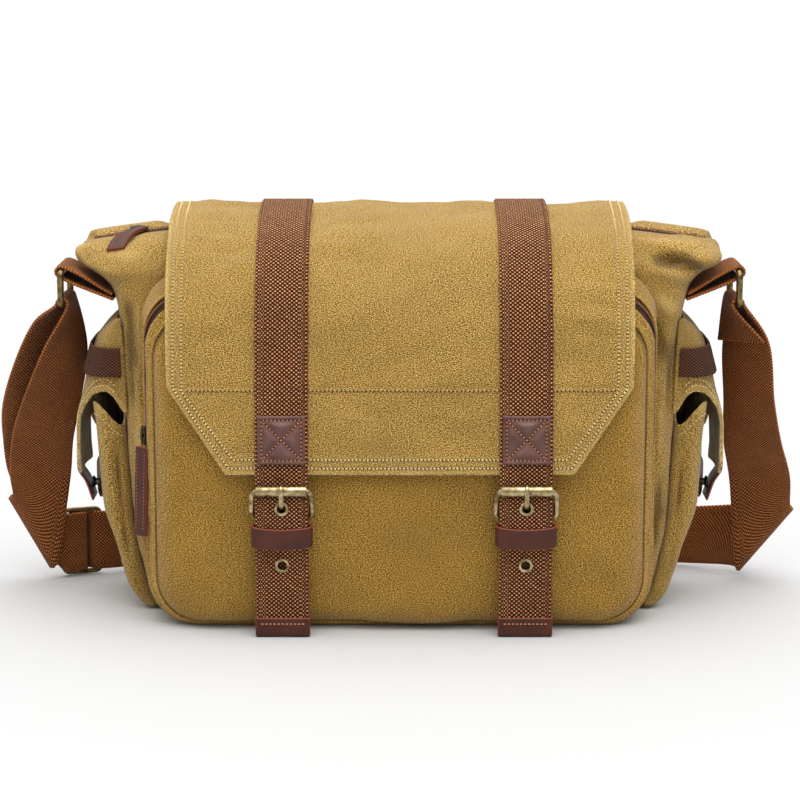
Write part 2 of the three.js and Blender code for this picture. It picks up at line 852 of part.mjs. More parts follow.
const sideFlapRows = [
  // drop share from the seam to the tip, reach share
  [0, 0.868],
  [0.05, 0.9],
  [0.13, 0.931],
  [0.28, 0.955],
  [0.42, 0.972],
  [0.69, 1],
  [0.85, 1],
  [1, 0.994],
];
const hemRows = [
  // share of the way to either edge, drop share of the hem
  [0, 1],
  [0.18, 1],
  [0.36, 1],
  [0.46, 0.66],
  [0.6, 0.5],
  [0.75, 0.47],
  [0.88, 0.52],
  [1, 0.6],
];
const sideFlapHalf = sidePocketHalf + 2 * GAP + sideFlapThickness;

// A point of the side flap's outer face: drop from its seam, and share of the way to an edge.
function sideFlapPoint(drop, share) {
  const z = blend(sideFlapTop, sideFlapLow, drop);
  const reach = rowAt(sideFlapRows, drop)[1] * sideFlapReach;
  const near = bodyReach(z) + GAP + sideFlapThickness / 2;
  const angle = (share * Math.PI) / 2;
  const x = blend(near, reach, Math.sqrt(Math.abs(Math.cos(angle))));
  const y = sideCentreY + Math.sign(share) * sideFlapHalf * Math.sqrt(Math.abs(Math.sin(angle)));
  return point(x, y, z);
}

const sideShares = [
  ...hemRows.slice(1).toReversed().map(([share]) => -share),
  ...hemRows.map(([share]) => share),
];

function sideFlap(side) {
  const steps = 7;
  const grid = [];
  for (let i = 0; i <= steps; i += 1) {
    grid.push(sideShares.map((share) => (
      sideFlapPoint((i / steps) * rowAt(hemRows, Math.abs(share))[1], share)
    )));
  }
  return sided(slab(grid, 0, -sideFlapThickness), side);
}

const bandDrops = [0.18, 0.23, 0.28, 0.35];

function sideFlapBand(side) {
  const shares = sideShares.filter((share) => Math.abs(share) < 1);
  const grid = bandDrops.map((drop) => shares.map((share) => sideFlapPoint(drop, share)));
  return sided(slab(grid, 3 * GAP + webbing, 3 * GAP), side);
}

// Leather tab that hangs from the side flap's tip, leaning in towards the pocket.
const flapTabPath = [
  [sideFlapReach + GAP + leather / 2, sideFlapLow + 12],
  [sideFlapReach + leather / 2, sideFlapLow],
  [blend(sideFlapReach, sidePocketReach, 0.26), blend(sideFlapLow, sideTabLow, 0.45)],
  [blend(sideFlapReach, sidePocketReach, 0.5), sideTabLow],
];

function flapTab(side) {
  const front = sideCentreY - sideTabWidth / 2;
  return sided(stripAlongY(flapTabPath, front, front + sideTabWidth, leather / 2, -leather / 2), side);
}

function pocketTab(side) {
  const front = sideCentreY - sideTabWidth / 2;
  const path = [[sidePocketReach, sideTabTop], [sidePocketReach, sideTabLow]];
  return sided(stripAlongY(path, front, front + sideTabWidth, GAP + leather, GAP), side);
}

// Snap stud between the two tabs.
function snap(side) {
  const near = sidePocketReach + GAP + leather + GAP;
  const [, , [highX, highZ], [lowX, lowZ]] = flapTabPath;
  const tabX = blend(lowX, highX, (snapZ - snapRadius - lowZ) / (highZ - lowZ));
  const far = tabX - leather / 2 - 2 * GAP;
  const stud = new THREE.CylinderGeometry(snapRadius, snapRadius, far - near, roundSides);
  return sided(stud.rotateZ(Math.PI / 2).translate((near + far) / 2, sideCentreY, snapZ), side);
}

function ring(side) {
  const half = strapWidth / 2 + ringSideClearance + ringWire;
  const outline = boxOutline(-half, half, ringLowZ, ringTopZ, ringCorner, 1, 1);
  const path = outline.map(([y, z]) => point(ringReach, y, z));
  return sided(wireLoop(path, point(1, 0, 0), ringWire), side);
}

// Webbing from the wing's underside round the ring's upper bar and back.
function ringTab(side) {
  const wrap = ringWire + GAP + webbing / 2;
  const span = ringReach - bodyReach(ringTabRootZ);
  const lean = THREE.MathUtils.radToDeg(Math.atan2(ringTopZ - ringTabRootZ, span));
  const lowRoot = ringTabRootZ - webbing;
  const highRoot = ringTabRootZ + webbing;
  const path = [
    [bodyReach(lowRoot) + 2 * GAP + webbing / 2, lowRoot],
    ...arcPoints([ringReach, ringTopZ], wrap, lean - 90, lean + 90, 6),
    [bodyReach(highRoot) + 2 * GAP + webbing / 2, highRoot],
  ];
  return sided(stripAlongY(path, -strapWidth / 2, strapWidth / 2, webbing / 2, -webbing / 2), side);
}

for (const side of [-1, 1]) {
  const name = side < 0 ? 'left' : 'right';
  add(`side_pocket_${name}`, sidePocket(side), canvas);
  add(`side_flap_${name}`, sideFlap(side), canvas);
  add(`side_flap_band_${name}`, sideFlapBand(side), strapping);
  add(`side_flap_tab_${name}`, flapTab(side), hide);
  add(`side_pocket_tab_${name}`, pocketTab(side), hide);
  add(`side_snap_${name}`, snap(side), brass);
  add(`strap_ring_${name}`, ring(side), brass);
  add(`ring_tab_${name}`, ringTab(side), strapping);
}

// Shoulder strap

// Each row holds both edges of the strap: outer x, y, z and inner x, y, z, as shares of the ring's reach,
// the body's back and the height of the ring's lower bar.
const leftBackLeg = [
  [1.205, 0.894, 0.297, 1.083, 0.958, 0.051],
  [1.213, 0.872, 0.292, 1.091, 0.936, 0.047],
  [1.205, 0.85, 0.297, 1.083, 0.915, 0.051],
  [1.228, 0.823, 0.393, 1.048, 0.919, 0.383],
  [1.233, 0.742, 0.491, 1.053, 0.855, 0.486],
  [1.219, 0.452, 0.624, 1.05, 0.694, 0.619],
  [1.164, 0.161, 0.791, 1.027, 0.587, 0.786],
  [1.091, -0.081, 0.934, 0.991, 0.452, 0.929],
];
const leftFrontLeg = [
  [1.064, -0.145, 0.845, 0.952, 0.306, 0.84],
  [1.142, 0.194, 0.668, 0.982, 0.5, 0.654],
  [1.196, 0.548, 0.516, 1.016, 0.645, 0.504],
  [1.215, 0.742, 0.369, 1.034, 0.806, 0.364],
  [1.213, 0.806, 0.292, 1.091, 0.871, 0.047],
  [1.228, 0.871, 0.284, 1.107, 0.935, 0.038],
  [1.213, 0.935, 0.292, 1.091, 1, 0.047],
];
const rightLeg = [
  [1.224, 0.935, 0.256, 1.068, 1.097, 0.029],
  [1.235, 0.871, 0.247, 1.079, 1.032, 0.021],
  [1.224, 0.806, 0.256, 1.068, 0.968, 0.029],
  [1.215, 0.726, 0.364, 1.034, 0.806, 0.354],
  [1.164, 0.306, 0.521, 1.005, 0.613, 0.501],
  [1.128, 0, 0.668, 0.995, 0.452, 0.649],
  [1.1, -0.129, 0.87, 0.986, 0.371, 0.855],
];
const rightTail = [
  [1.082, -0.218, 0.875, 0.966, 0.274, 0.86],
];
const behindRows = [
  // x share, y share, height of the lower edge as a share of the strap's width
  [-0.868, 1.29, 0.075],
  [-0.685, 1.565, 0.04],
  [-0.342, 1.677, 0.03],
  [0, 1.71, 0.03],
  [0.342, 1.677, 0.03],
  [0.685, 1.613, 0.04],
  [0.93, 1.45, 0.07],
];

function legStation(side, [outX, outY, outZ, inX, inY, inZ]) {
  return [
    point(side * outX * ringReach, outY * bodyBack, outZ * ringLowZ),
    point(side * inX * ringReach, inY * bodyBack, inZ * ringLowZ),
  ];
}

// The strap over a ring's lower bar, from one side of the bar to the other.
function ringStations(side, from, to) {
  const wrap = ringWire + 2 * GAP + strapThickness / 2;
  return arcPoints([ringReach, ringLowZ], wrap, from, to, 4).map(([x, z]) => [
    point(side * x, -strapWidth / 2, z),
    point(side * x, strapWidth / 2, z),
  ]);
}

const sliderAlong = point(0.95, 0.31, 0).normalize();
const sliderFacing = point(0, 0, -1).cross(sliderAlong);
const sliderMiddle = point(sliderCentre[0], sliderCentre[1], 0);
const stripLow = sliderLow + sliderBar + 2 * GAP;

function sliderStation(along, forward) {
  const low = sliderMiddle.clone()
    .addScaledVector(sliderAlong, along * sliderBarSpacing)
    .addScaledVector(sliderFacing, forward)
    .setZ(stripLow);
  return [low.clone().setZ(stripLow + strapWidth), low];
}

// Distances of the strap's middle from the slider's middle plane: beside a bar, and past one more layer.
const besideBar = sliderBar + GAP + strapThickness / 2;
const pastLayer = besideBar + strapThickness + GAP;

function shoulderStrap() {
  const stations = [
    sliderStation(-0.08, -besideBar),
    sliderStation(0.15, -0.72 * besideBar),
    sliderStation(besideBar / sliderBarSpacing, 0),
    sliderStation(0.15, 0.72 * besideBar),
    sliderStation(-0.02, besideBar),
    sliderStation(-0.4, 1.2 * besideBar),
    sliderStation(-1, pastLayer),
    ...leftBackLeg.map((row) => legStation(-1, row)),
    ...ringStations(-1, 0, 180),
    ...leftFrontLeg.map((row) => legStation(-1, row)),
    sliderStation(-1, besideBar),
    sliderStation(-0.65, 0.2 * besideBar),
    sliderStation(-0.35, -0.78 * pastLayer),
    sliderStation(0, -1.05 * pastLayer),
    sliderStation(0.35, -0.78 * pastLayer),
    sliderStation(0.65, 0.2 * besideBar),
    sliderStation(1, besideBar),
    ...behindRows.map(([x, y, low]) => {
      const edge = point(x * ringReach, y * bodyBack, low * strapWidth);
      return [edge.clone().setZ(edge.z + strapWidth), edge];
    }),
    ...rightLeg.map((row) => legStation(1, row)),
    ...ringStations(1, 0, 180),
    ...rightTail.map((row) => legStation(1, row)),
  ];
  const steps = 2 * stations.length;
  const edges = [0, 1].map((edge) => {
    const points = stations.map((station) => station[edge]);
    return new THREE.CatmullRomCurve3(points, false, 'centripetal').getPoints(steps);
  });
  const grid = edges[0].map((p, i) => [p, edges[1][i]]);
  return slab(grid, strapThickness / 2, -strapThickness / 2);
}

// The three-bar slider that sets the strap's length.
function strapSlider() {
  const top = stripLow + strapWidth + 2 * GAP + sliderBar;
  const outline = boxOutline(-sliderBarSpacing, sliderBarSpacing, sliderLow, top, sliderCorner, 1, 1);
  const path = outline.map(([along, z]) => (
    sliderMiddle.clone().addScaledVector(sliderAlong, along).setZ(z)
  ));
  const frame = toManifold(wireLoop(path, sliderFacing, sliderBar));
  const bar = new THREE.CylinderGeometry(sliderBar, sliderBar, top - sliderLow, wireSides);
  bar.rotateX(Math.PI / 2);
  bar.translate(sliderMiddle.x, sliderMiddle.y, (top + sliderLow) / 2);
  return fromManifold(frame.add(toManifold(bar)));
}

add('shoulder_strap', shoulderStrap(), strapping);
add('strap_slider', strapSlider(), brass);

export default bag;
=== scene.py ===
import math

import bpy
import numpy as np
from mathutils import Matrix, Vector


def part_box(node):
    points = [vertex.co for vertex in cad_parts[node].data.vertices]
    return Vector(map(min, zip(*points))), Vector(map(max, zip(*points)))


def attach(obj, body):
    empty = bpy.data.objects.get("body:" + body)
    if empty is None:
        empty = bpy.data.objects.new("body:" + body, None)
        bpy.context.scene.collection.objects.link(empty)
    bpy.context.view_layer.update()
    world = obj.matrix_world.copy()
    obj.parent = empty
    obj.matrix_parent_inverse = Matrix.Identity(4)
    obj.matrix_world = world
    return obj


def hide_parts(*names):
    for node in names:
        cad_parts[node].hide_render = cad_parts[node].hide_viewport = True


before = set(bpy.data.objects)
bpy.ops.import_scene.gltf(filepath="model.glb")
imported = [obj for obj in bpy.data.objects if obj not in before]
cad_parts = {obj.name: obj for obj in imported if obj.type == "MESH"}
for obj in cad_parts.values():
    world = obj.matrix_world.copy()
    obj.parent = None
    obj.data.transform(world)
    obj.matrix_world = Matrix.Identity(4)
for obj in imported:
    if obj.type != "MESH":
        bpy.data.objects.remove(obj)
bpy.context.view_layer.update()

MM = 0.001
# Room between pieces that touch
GAP = 0.3

# Sizes of the main body
BODY_HALF_WIDTH = 178
BODY_HEIGHT = 245
BODY_FRONT = 28
BODY_BACK = 62
BODY_CORNER = 12
BODY_WALL = 2.4
CROWN_RISE = 12
ROOF_SWELL = 4.5
TOP_ZIP_Y = 20
TOP_ZIP_WIDTH = 12.4
TOP_ZIP_HALF_LENGTH = 202

# Sizes of the front pocket
POCKET_HALF_WIDTH = 163
POCKET_TOP = 226
POCKET_BOTTOM = 2
POCKET_DEPTH = 49.5
POCKET_CORNER = 28
POCKET_WALL = 1.8
POCKET_ZIP_LOW = 118
ZIP_REAR = 0.4
ZIP_FRONT = 0.56
PANEL_START = 0.63

# Both zips: thickness of the tape, pitch and slant of the coil's teeth, and sizes of the leather pulls
ZIP_THICKNESS = 1.6
COIL = {"pitch": 1.9, "slant": 14}
TOP_SLIDER_X = -172
TOP_PULL_LENGTH = 55
TOP_PULL_HALF = 5.4
FRONT_PULL_HALF = 4.8

# Sizes of the main flap
FLAP_HALF_WIDTH = 148
FLAP_RIDGE = 264
FLAP_FRONT = 84
FLAP_THICKNESS = 2.4

# Sizes of the closing straps and their buckles
STRAP_CENTRES = {"left": -74.5, "right": 79.5}
CLOSING_STRAP_WIDTH = 32
WEBBING = 1.8
LEATHER = 1.6
PATCH_SIDE = 30
PATCH_CENTRE_Z = 127.6
ROLLER_Z = 96
HEEL_Z = 77
STRAP_BEHIND_ROLLER = 86.4
STRAP_OVER_HEEL = 89.7
BUCKLE_WIDTH = 41.7
BUCKLE_WIRE = 1.9
ROLLER_RADIUS = 3.5
ROLLER_LENGTH = 32.4
EYELET_HEIGHTS = (84.8, 47.2)
EYELET_BORE = 2.8
EYELET_FLANGE = 4.6
KEEPER_HEIGHT = 12
KEEPER_WIDTH = 38.8
TIP_HEIGHT = 12
TIP_CLEARANCE = 0.2
CHAPE_LOW = 42
PRONG_WIDTH = 3.2
PRONG_THICKNESS = 1.8

# Sizes of the side pockets, their flaps and the strap rings
SIDE_REACH = 197
SIDE_MOUTH = 138
SIDE_FRONT = 22
SIDE_BACK = 56
SIDE_BOTTOM = 2.5
SIDE_WALL = 1.6
SIDE_FLAP_REACH = 213.6
SIDE_FLAP_TOP = 194.5
SIDE_FLAP_LOW = 89.7
SIDE_FLAP_THICKNESS = 2
SIDE_TAB_WIDTH = 20
SIDE_TAB_LOW = 68
SIDE_TAB_TOP = 104
TAB_ROUNDING = 10
TAB_STANDS_OFF = 6
SNAP_Z = 78
RING_REACH = 219
RING_TOP_Z = 225
RING_LOW_Z = 203.5
RING_WIRE = 2.2
RING_TAB_ROOT_Z = 209
SHOULDER_WIDTH = 40
SHOULDER_THICKNESS = 1.8
SLIDER_CENTRE = (-221.5, 67.5)
SLIDER_SPACING = 13
SLIDER_BAR = 1.6
SLIDER_LOW = 2.2


# Curves and surfaces

def through(keys, rows, at):
    """A smooth curve through table rows, without overshoot between them."""
    keys = np.asarray(keys, float)
    rows = np.asarray(rows, float).reshape(len(keys), -1)
    step = np.diff(keys)[:, None]
    slope = np.diff(rows, axis=0) / step
    tangent = np.zeros_like(rows)
    before, after = slope[:-1], slope[1:]
    steady = before * after > 0
    total = np.where(steady, before + after, 1)
    tangent[1:-1] = np.where(steady, 2 * before * after / total, 0)
    tangent[0], tangent[-1] = slope[0], slope[-1]
    at = np.clip(np.asarray(at, float), keys[0], keys[-1])
    i = np.clip(np.searchsorted(keys, at, side="right") - 1, 0, len(keys) - 2)
    width = step[i]
    t = ((at - keys[i]) / step[i, 0])[:, None]
    return (
        (1 + 2 * t) * (1 - t) ** 2 * rows[i] + t * (1 - t) ** 2 * width * tangent[i]
        + t * t * (3 - 2 * t) * rows[i + 1] + t * t * (t - 1) * width * tangent[i + 1]
    )


def unit(vectors):
    lengths = np.linalg.norm(vectors, axis=-1, keepdims=True)
    return vectors / np.maximum(lengths, 1e-9)


def lengths_along(points):
    """Distance from the first point to each point of a path."""
    steps = np.linalg.norm(np.diff(points, axis=0), axis=1)
    return np.concatenate([[0], np.cumsum(steps)])


def points_at(path, lengths, at):
    """Points of a path, found by their lengths along it."""
    return np.stack([np.interp(at, lengths, column) for column in path.T], axis=1)


def evenly(path, count):
    """The same path in a number of points at even steps."""
    lengths = lengths_along(path)
    return points_at(path, lengths, np.linspace(0, lengths[-1], count))


def even_path(points, spacing):
    """A smooth path through the points, at even steps close to the spacing."""
    keys = lengths_along(points)
    count = max(2, round(keys[-1] / spacing))
    return evenly(through(keys, points, np.linspace(0, keys[-1], 8 * count + 1)), count + 1)


def grid_of(*coordinates):
    """Points from their coordinates, each spread over the rows and columns of the others."""
    return np.stack(np.broadcast_arrays(*coordinates), axis=-1)


def arc(centre, radius, start, end, steps):
    angles = np.radians(np.linspace(start, end, steps + 1))
    return grid_of(centre[0] + radius * np.cos(angles), centre[1] + radius * np.sin(angles))


def box_outline(left, right, low, high, radius, across, along, corner=8):
    """Points round a box with rounded corners, from its low left corner to the right."""
    bends = (
        (right - radius, low + radius, -90, across),
        (right - radius, high - radius, 0, along),
        (left + radius, high - radius, 90, across),
        (left + radius, low + radius, 180, along),
    )
    outline = []
    previous = np.array([left + radius, low])
    for x, y, start, steps in bends:
        bend = arc((x, y), radius, start, start + 90, corner)
        share = np.linspace(0, 1, steps + 1)[1:-1, None]
        outline += [previous + share * (bend[0] - previous), bend]
        previous = bend[-1]
    return np.vstack(outline)


def grid_normals(grid, wrapped=False):
    down = np.gradient(grid, axis=0)
    if wrapped:
        across = np.roll(grid, -1, axis=1) - np.roll(grid, 1, axis=1)
    else:
        across = np.gradient(grid, axis=1)
    return unit(np.cross(down, across))


def turned_to(grid, way):
    """The grid, with its columns turned round if its middle faces away."""
    middle = grid_normals(grid)[len(grid) // 2, grid.shape[1] // 2]
    return grid[:, ::-1] if middle @ way < 0 else grid


def on_grid(grid, i, j):
    """Points of a grid between its rows and columns."""
    rows, columns = grid.shape[:2]
    i0 = np.clip(i.astype(int), 0, rows - 2)
    j0 = np.clip(j.astype(int), 0, columns - 2)
    a, b = (i - i0)[..., None], (j - j0)[..., None]
    low = grid[i0, j0] * (1 - b) + grid[i0, j0 + 1] * b
    high = grid[i0 + 1, j0] * (1 - b) + grid[i0 + 1, j0 + 1] * b
    return low * (1 - a) + high * a


def swell(points, wavelength, seed):
    """Soft random waves of about the given wavelength, the same at every run."""
    chance = np.random.default_rng(seed)
    total = 0
    waves = 9
    for _ in range(waves):
        direction = unit(chance.normal(size=3))
        stretch = chance.uniform(0.7, 1.4)
        turn = chance.uniform(0, 2 * np.pi)
        total = total + np.sin(points @ direction * (2 * np.pi * stretch / wavelength) + turn)
    return total / np.sqrt(waves)


def ramp(value, low, high):
    share = np.clip((value - low) / (high - low), 0, 1)
    return share * share * (3 - 2 * share)


def fold_field(points, folds):
    """How far folds move points: each is a line with a width and a rise, fading at its ends."""
    total = np.zeros(points.shape[:-1])
    for start, end, width, rise in folds:
        start, end = np.asarray(start, float), np.asarray(end, float)
        line = end - start
        share = np.clip((points - start) @ line / (line @ line), 0, 1)
        away = np.linalg.norm(points - (start + share[..., None] * line), axis=-1)
        fade = np.sin(np.pi * np.clip(share, 0.02, 0.98)) ** 0.6
        total += rise * fade * np.exp(-((away / width) ** 2))
    return total


# Thickness share by which a sheet's edge rounds out, and sides of a sewing thread
SHEET_ROUNDING = 0.4
THREAD_SIDES = 6


class Cut:
    """Points, faces, UVs and named values of one piece, collected before it is made."""

    def __init__(self):
        self.points = []
        self.faces = []
        self.uvs = []
        self.face_uvs = []
        self.values = {}
        self.count = 0
        self.uv_count = 0

    def add(self, points, faces, uvs, face_uvs, **values):
        self.points.append(points.reshape(-1, 3))
        self.uvs.append(uvs.reshape(-1, 2))
        self.faces.append(faces + self.count)
        self.face_uvs.append(face_uvs + self.uv_count)
        added = len(self.points[-1])
        for name in {**self.values, **values}:
            kept = self.values.setdefault(name, np.zeros(self.count))
            self.values[name] = np.concatenate([kept, np.broadcast_to(values.get(name, 0.0), added)])
        self.count += added
        self.uv_count += len(self.uvs[-1])

    def add_ends(self, faces, start, uv_start, rows, columns):
        """The same faces on the first and the last ring of a grid, facing out at both."""
        for row, way in ((0, -1), (rows - 1, 1)):
            self.faces.append(faces[:, ::way] + start + row * columns)
            self.face_uvs.append(faces[:, ::way] + uv_start + row * (columns + 1))

    def grid(self, points, uvs, closed=False, flipped=False, capped=False, **values):
        """Rings of points, with one more UV in each. Closed joins the last ring to the first."""
        rows, columns = points.shape[:2]
        wide = columns + 1
        i, j = np.indices((rows if closed else rows - 1, columns)).reshape(2, -1)
        low, high, after = i * columns, (i + 1) % rows * columns, (j + 1) % columns
        faces = np.stack([low + j, low + after, high + after, high + j], axis=1)
        low, high = i * wide + j, (i + 1) * wide + j
        face_uvs = np.stack([low, low + 1, high + 1, high], axis=1)
        if flipped:
            faces, face_uvs = (np.roll(each[:, ::-1], 1, axis=1) for each in (faces, face_uvs))
        flat = {name: np.broadcast_to(value, (rows, columns)).ravel() for name, value in values.items()}
        start, uv_start = self.count, self.uv_count
        self.add(points, faces, uvs, face_uvs, **flat)
        if capped:
            self.add_ends(np.arange(columns)[None], start, uv_start, rows, columns)

    def make(self, name, material, node=None):
        mesh = bpy.data.meshes.new(name)
        corners = np.concatenate([faces.ravel() for faces in self.faces])
        uv_corners = np.concatenate([faces.ravel() for faces in self.face_uvs])
        sizes = np.concatenate([np.full(len(faces), faces.shape[1]) for faces in self.faces])
        points = np.concatenate(self.points) * MM
        mesh.vertices.add(len(points))
        mesh.vertices.foreach_set("co", points.ravel())
        mesh.loops.add(len(corners))
        mesh.loops.foreach_set("vertex_index", corners)
        mesh.polygons.add(len(sizes))
        mesh.polygons.foreach_set("loop_start", np.concatenate([[0], np.cumsum(sizes)[:-1]]))
        mesh.polygons.foreach_set("use_smooth", np.ones(len(sizes), bool))
        uvs = np.concatenate(self.uvs)[uv_corners] * MM
        mesh.uv_layers.new(name="UVMap").data.foreach_set("uv", uvs.ravel())
        for value_name, values in self.values.items():
            mesh.attributes.new(value_name, "FLOAT", "POINT").data.foreach_set("value", values)
        mesh.update(calc_edges=True)
        mesh.validate()
        piece = bpy.data.objects.new(name, mesh)
        bpy.context.scene.collection.objects.link(piece)
        mesh.materials.append(material)
        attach(piece, "root")
        if node:
            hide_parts(node)
        return piece


def make_piece(name, material, node, slot, lay, *shape, **values):
    """A piece of one sheet, bar or turned part: lay is the function below that shapes it."""
    cut = Cut()
    lay(cut, *shape, **values)
    return cut.make(name, material, node)


def flat_uvs(grid):
    """UVs of a grid that keep its real lengths: across the rows, and down the columns."""
    across = np.linalg.norm(np.diff(grid, axis=1), axis=2).mean(axis=0)
    down = np.linalg.norm(np.diff(grid, axis=0), axis=2).mean(axis=1)
    u = np.concatenate([[0], np.cumsum(across)])
    v = np.concatenate([[0], np.cumsum(down)])
    return np.stack(np.meshgrid(u, v), axis=-1)


def both_faces(grid):
    """Values of a sheet in one ring: its outer face, right edge, inner face and left edge."""
    return np.concatenate([grid, grid[:, -1:], grid[:, ::-1], grid[:, :1]], axis=1)


def with_ends(rows):
    return np.concatenate([rows[:1], rows, rows[-1:]])


def joined(grid):
    return np.concatenate([grid, grid[:, :1]], axis=1)


def lay_sheet(cut, outer, thickness, uvs=None, **values):
    """A sheet with a rounded edge: its outer face is the grid, its inner face lies behind it."""
    depth = np.broadcast_to(thickness, outer.shape[:2])[..., None]
    inner = outer - grid_normals(outer) * depth
    middle = (outer + inner) / 2
    right = middle[:, -1] + unit(outer[:, -1] - outer[:, -2]) * depth[:, -1] * SHEET_ROUNDING
    left = middle[:, 0] + unit(outer[:, 0] - outer[:, 1]) * depth[:, 0] * SHEET_ROUNDING
    rings = np.concatenate([outer, right[:, None], inner[:, ::-1], left[:, None]], axis=1)
    centres = both_faces(middle)
    ends = []
    for end, beside in ((0, 1), (-1, -2)):
        out = unit(rings[end] - rings[beside]) * depth[end, 0] * SHEET_ROUNDING
        ends.append((out + 0.45 * rings[end] + 0.55 * centres[end])[None])
    rings = np.concatenate([ends[0], rings, ends[1]])
    rows, size = rings.shape[:2]
    columns = outer.shape[1]
    rim = np.zeros((rows, size))
    rim[[0, -1]] = 1
    rim[:, [columns, -1]] = 1
    inside = np.zeros((rows, size))
    inside[:, columns + 1:-1] = 1
    shown = {
        name: with_ends(both_faces(np.broadcast_to(value, outer.shape[:2])))
        for name, value in values.items()
    }
    start, uv_start = cut.count, cut.uv_count
    ring_uvs = with_ends(both_faces(flat_uvs(outer) if uvs is None else uvs))
    cut.grid(rings, joined(ring_uvs), rim=rim, inside=inside, **shown)
    near = np.arange(columns - 1)
    far = size - 2 - near
    cut.add_ends(np.stack([near, near + 1, far - 1, far], axis=1), start, uv_start, rows, size)
    corners = np.array([[columns - 1, columns, columns + 1], [0, size - 2, size - 1]])
    cut.add_ends(corners, start, uv_start, rows, size)


def lay_centred(cut, grid, thickness, outward=None, **values):
    """A sheet whose middle lies on the grid, with its outer face turned the given way."""
    if outward is not None:
        grid = turned_to(grid, outward)
    lay_sheet(cut, grid + grid_normals(grid) * thickness / 2, thickness, **values)


def lay_tube(cut, path, radius, up, closed=False, sides=14, flatten=1.0, **values):
    """A round bar, cord or welt along a path."""
    path = np.asarray(path, float)
    if closed:
        along = unit(np.roll(path, -1, axis=0) - np.roll(path, 1, axis=0))
    else:
        along = unit(np.gradient(path, axis=0))
    across = unit(np.cross(along, np.broadcast_to(up, path.shape)))
    lift = np.cross(across, along)
    turn = np.linspace(0, 2 * np.pi, sides, endpoint=False)
    reach = np.broadcast_to(radius, (len(path),))[:, None, None]
    ring = across[:, None] * np.cos(turn)[:, None] + flatten * lift[:, None] * np.sin(turn)[:, None]
    rings = path[:, None] + reach * ring
    u = np.linspace(0, 2 * np.pi * np.mean(radius), sides + 1)
    uvs = np.stack(np.meshgrid(u, lengths_along([*path, path[0]] if closed else path)), axis=-1)
    if closed:
        cut.grid(rings, uvs, closed=True, flipped=True, **values)
    else:
        cut.grid(rings[:, ::-1], uvs, capped=True, **values)


def lay_turned(cut, corners, rounding, centre, axis, steps):
    """A piece turned round an axis, from the corners of its profile: radius and height."""
    profile = round_profile(corners, rounding)
    axis = unit(np.asarray(axis, float))
    side = unit(np.cross(axis, [0.31, 0.17, 0.9]))
    front = np.cross(axis, side)
    turn = np.linspace(0, 2 * np.pi, steps, endpoint=False)
    ring = side * np.cos(turn)[:, None] + front * np.sin(turn)[:, None]
    points = centre + profile[:, None, :1] * ring + profile[:, None, 1:] * axis
    u = np.linspace(0, 2 * np.pi * profile[:, 0].mean(), steps + 1)
    v = lengths_along([*profile, profile[0]])
    cut.grid(points, np.stack(np.meshgrid(u, v), axis=-1), closed=True)


def round_profile(corners, radius):
    """A closed profile with small rounded corners, so that its edges catch the light."""
    corners = np.asarray(corners, float)
    shaped = []
    for i, corner in enumerate(corners):
        before = corners[i - 1] - corner
        after = corners[(i + 1) % len(corners)] - corner
        reach = min(radius, 0.45 * np.linalg.norm(before), 0.45 * np.linalg.norm(after))
        start = corner + unit(before) * reach
        end = corner + unit(after) * reach
        shaped += [start, 0.25 * start + 0.5 * corner + 0.25 * end, end]
    return np.array(shaped)


def lay_stitches(
    cut, path, normals, pitch=2.4, length=1.75, width=0.42, sink=0.05, slant=0.0, phase=0.5
):
    """A row of stitches along a path on a surface, each a short plump thread."""
    lengths = lengths_along(path)
    count = int(lengths[-1] / pitch)
    middles = (np.arange(count) + phase) * lengths[-1] / max(count, 1)
    centre = points_at(path, lengths, middles)
    normal = unit(points_at(normals, lengths, middles))
    along = unit(points_at(path, lengths, middles + 0.3) - points_at(path, lengths, middles - 0.3))
    along = unit(along + slant * unit(np.cross(normal, along)))
    across = np.cross(normal, along)
    shares = np.array([-1, -0.72, 0, 0.72, 1]) * length / 2
    swelling = np.array([0.25, 0.8, 1, 0.8, 0.25])[:, None] * width
    arching = np.array([-0.5, 0.15, 0.55, 0.15, -0.5]) * width
    turn = np.linspace(0, 2 * np.pi, THREAD_SIDES, endpoint=False)
    rings = (
        (centre - sink * normal)[:, None, None]
        + along[:, None, None] * shares[:, None, None]
        + normal[:, None, None] * arching[:, None, None]
        + across[:, None, None] * (np.cos(turn) * swelling)[..., None]
        + normal[:, None, None] * (np.sin(turn) * swelling)[..., None]
    )
    i, j = np.indices((len(shares) - 1, THREAD_SIDES)).reshape(2, -1)
    low, high, after = i * THREAD_SIDES, (i + 1) * THREAD_SIDES, (j + 1) % THREAD_SIDES
    quads = np.stack([high + j, high + after, low + after, low + j], axis=1)
    each = len(shares) * THREAD_SIDES
    faces = (quads + (np.arange(count) * each)[:, None, None]).reshape(-1, 4)
    uvs = grid_of(np.arange(THREAD_SIDES) * 0.4, shares[:, None] + middles[:, None, None])
    cut.add(rings, faces, uvs, faces)


def thread_piece(name, rows, material, slot="canvas", **sizes):
    """Rows of stitches made into one piece."""
    cut = Cut()
    for path, normals in rows:
        lay_stitches(cut, path, normals, **sizes)
    return cut.make(name, material)


# Materials

def feed(tree, node, inputs):
    """Links what is a socket to the node's inputs, and sets what is a value."""
    for key, value in inputs.items():
        if isinstance(value, bpy.types.NodeSocket):
            tree.links.new(value, node.inputs[key])
        else:
            node.inputs[key].default_value = value


def put(tree, kind, inputs=None, **settings):
    """A node with its settings and what feeds it."""
    node = tree.nodes.new("ShaderNode" + kind)
    for name, value in settings.items():
        setattr(node, name, value)
    feed(tree, node, inputs or {})
    return node


def maths(tree, operation, first, second=0.0):
    return put(tree, "Math", {0: first, 1: second}, operation=operation).outputs[0]


def times(tree, first, second):
    return maths(tree, "MULTIPLY", first, second)


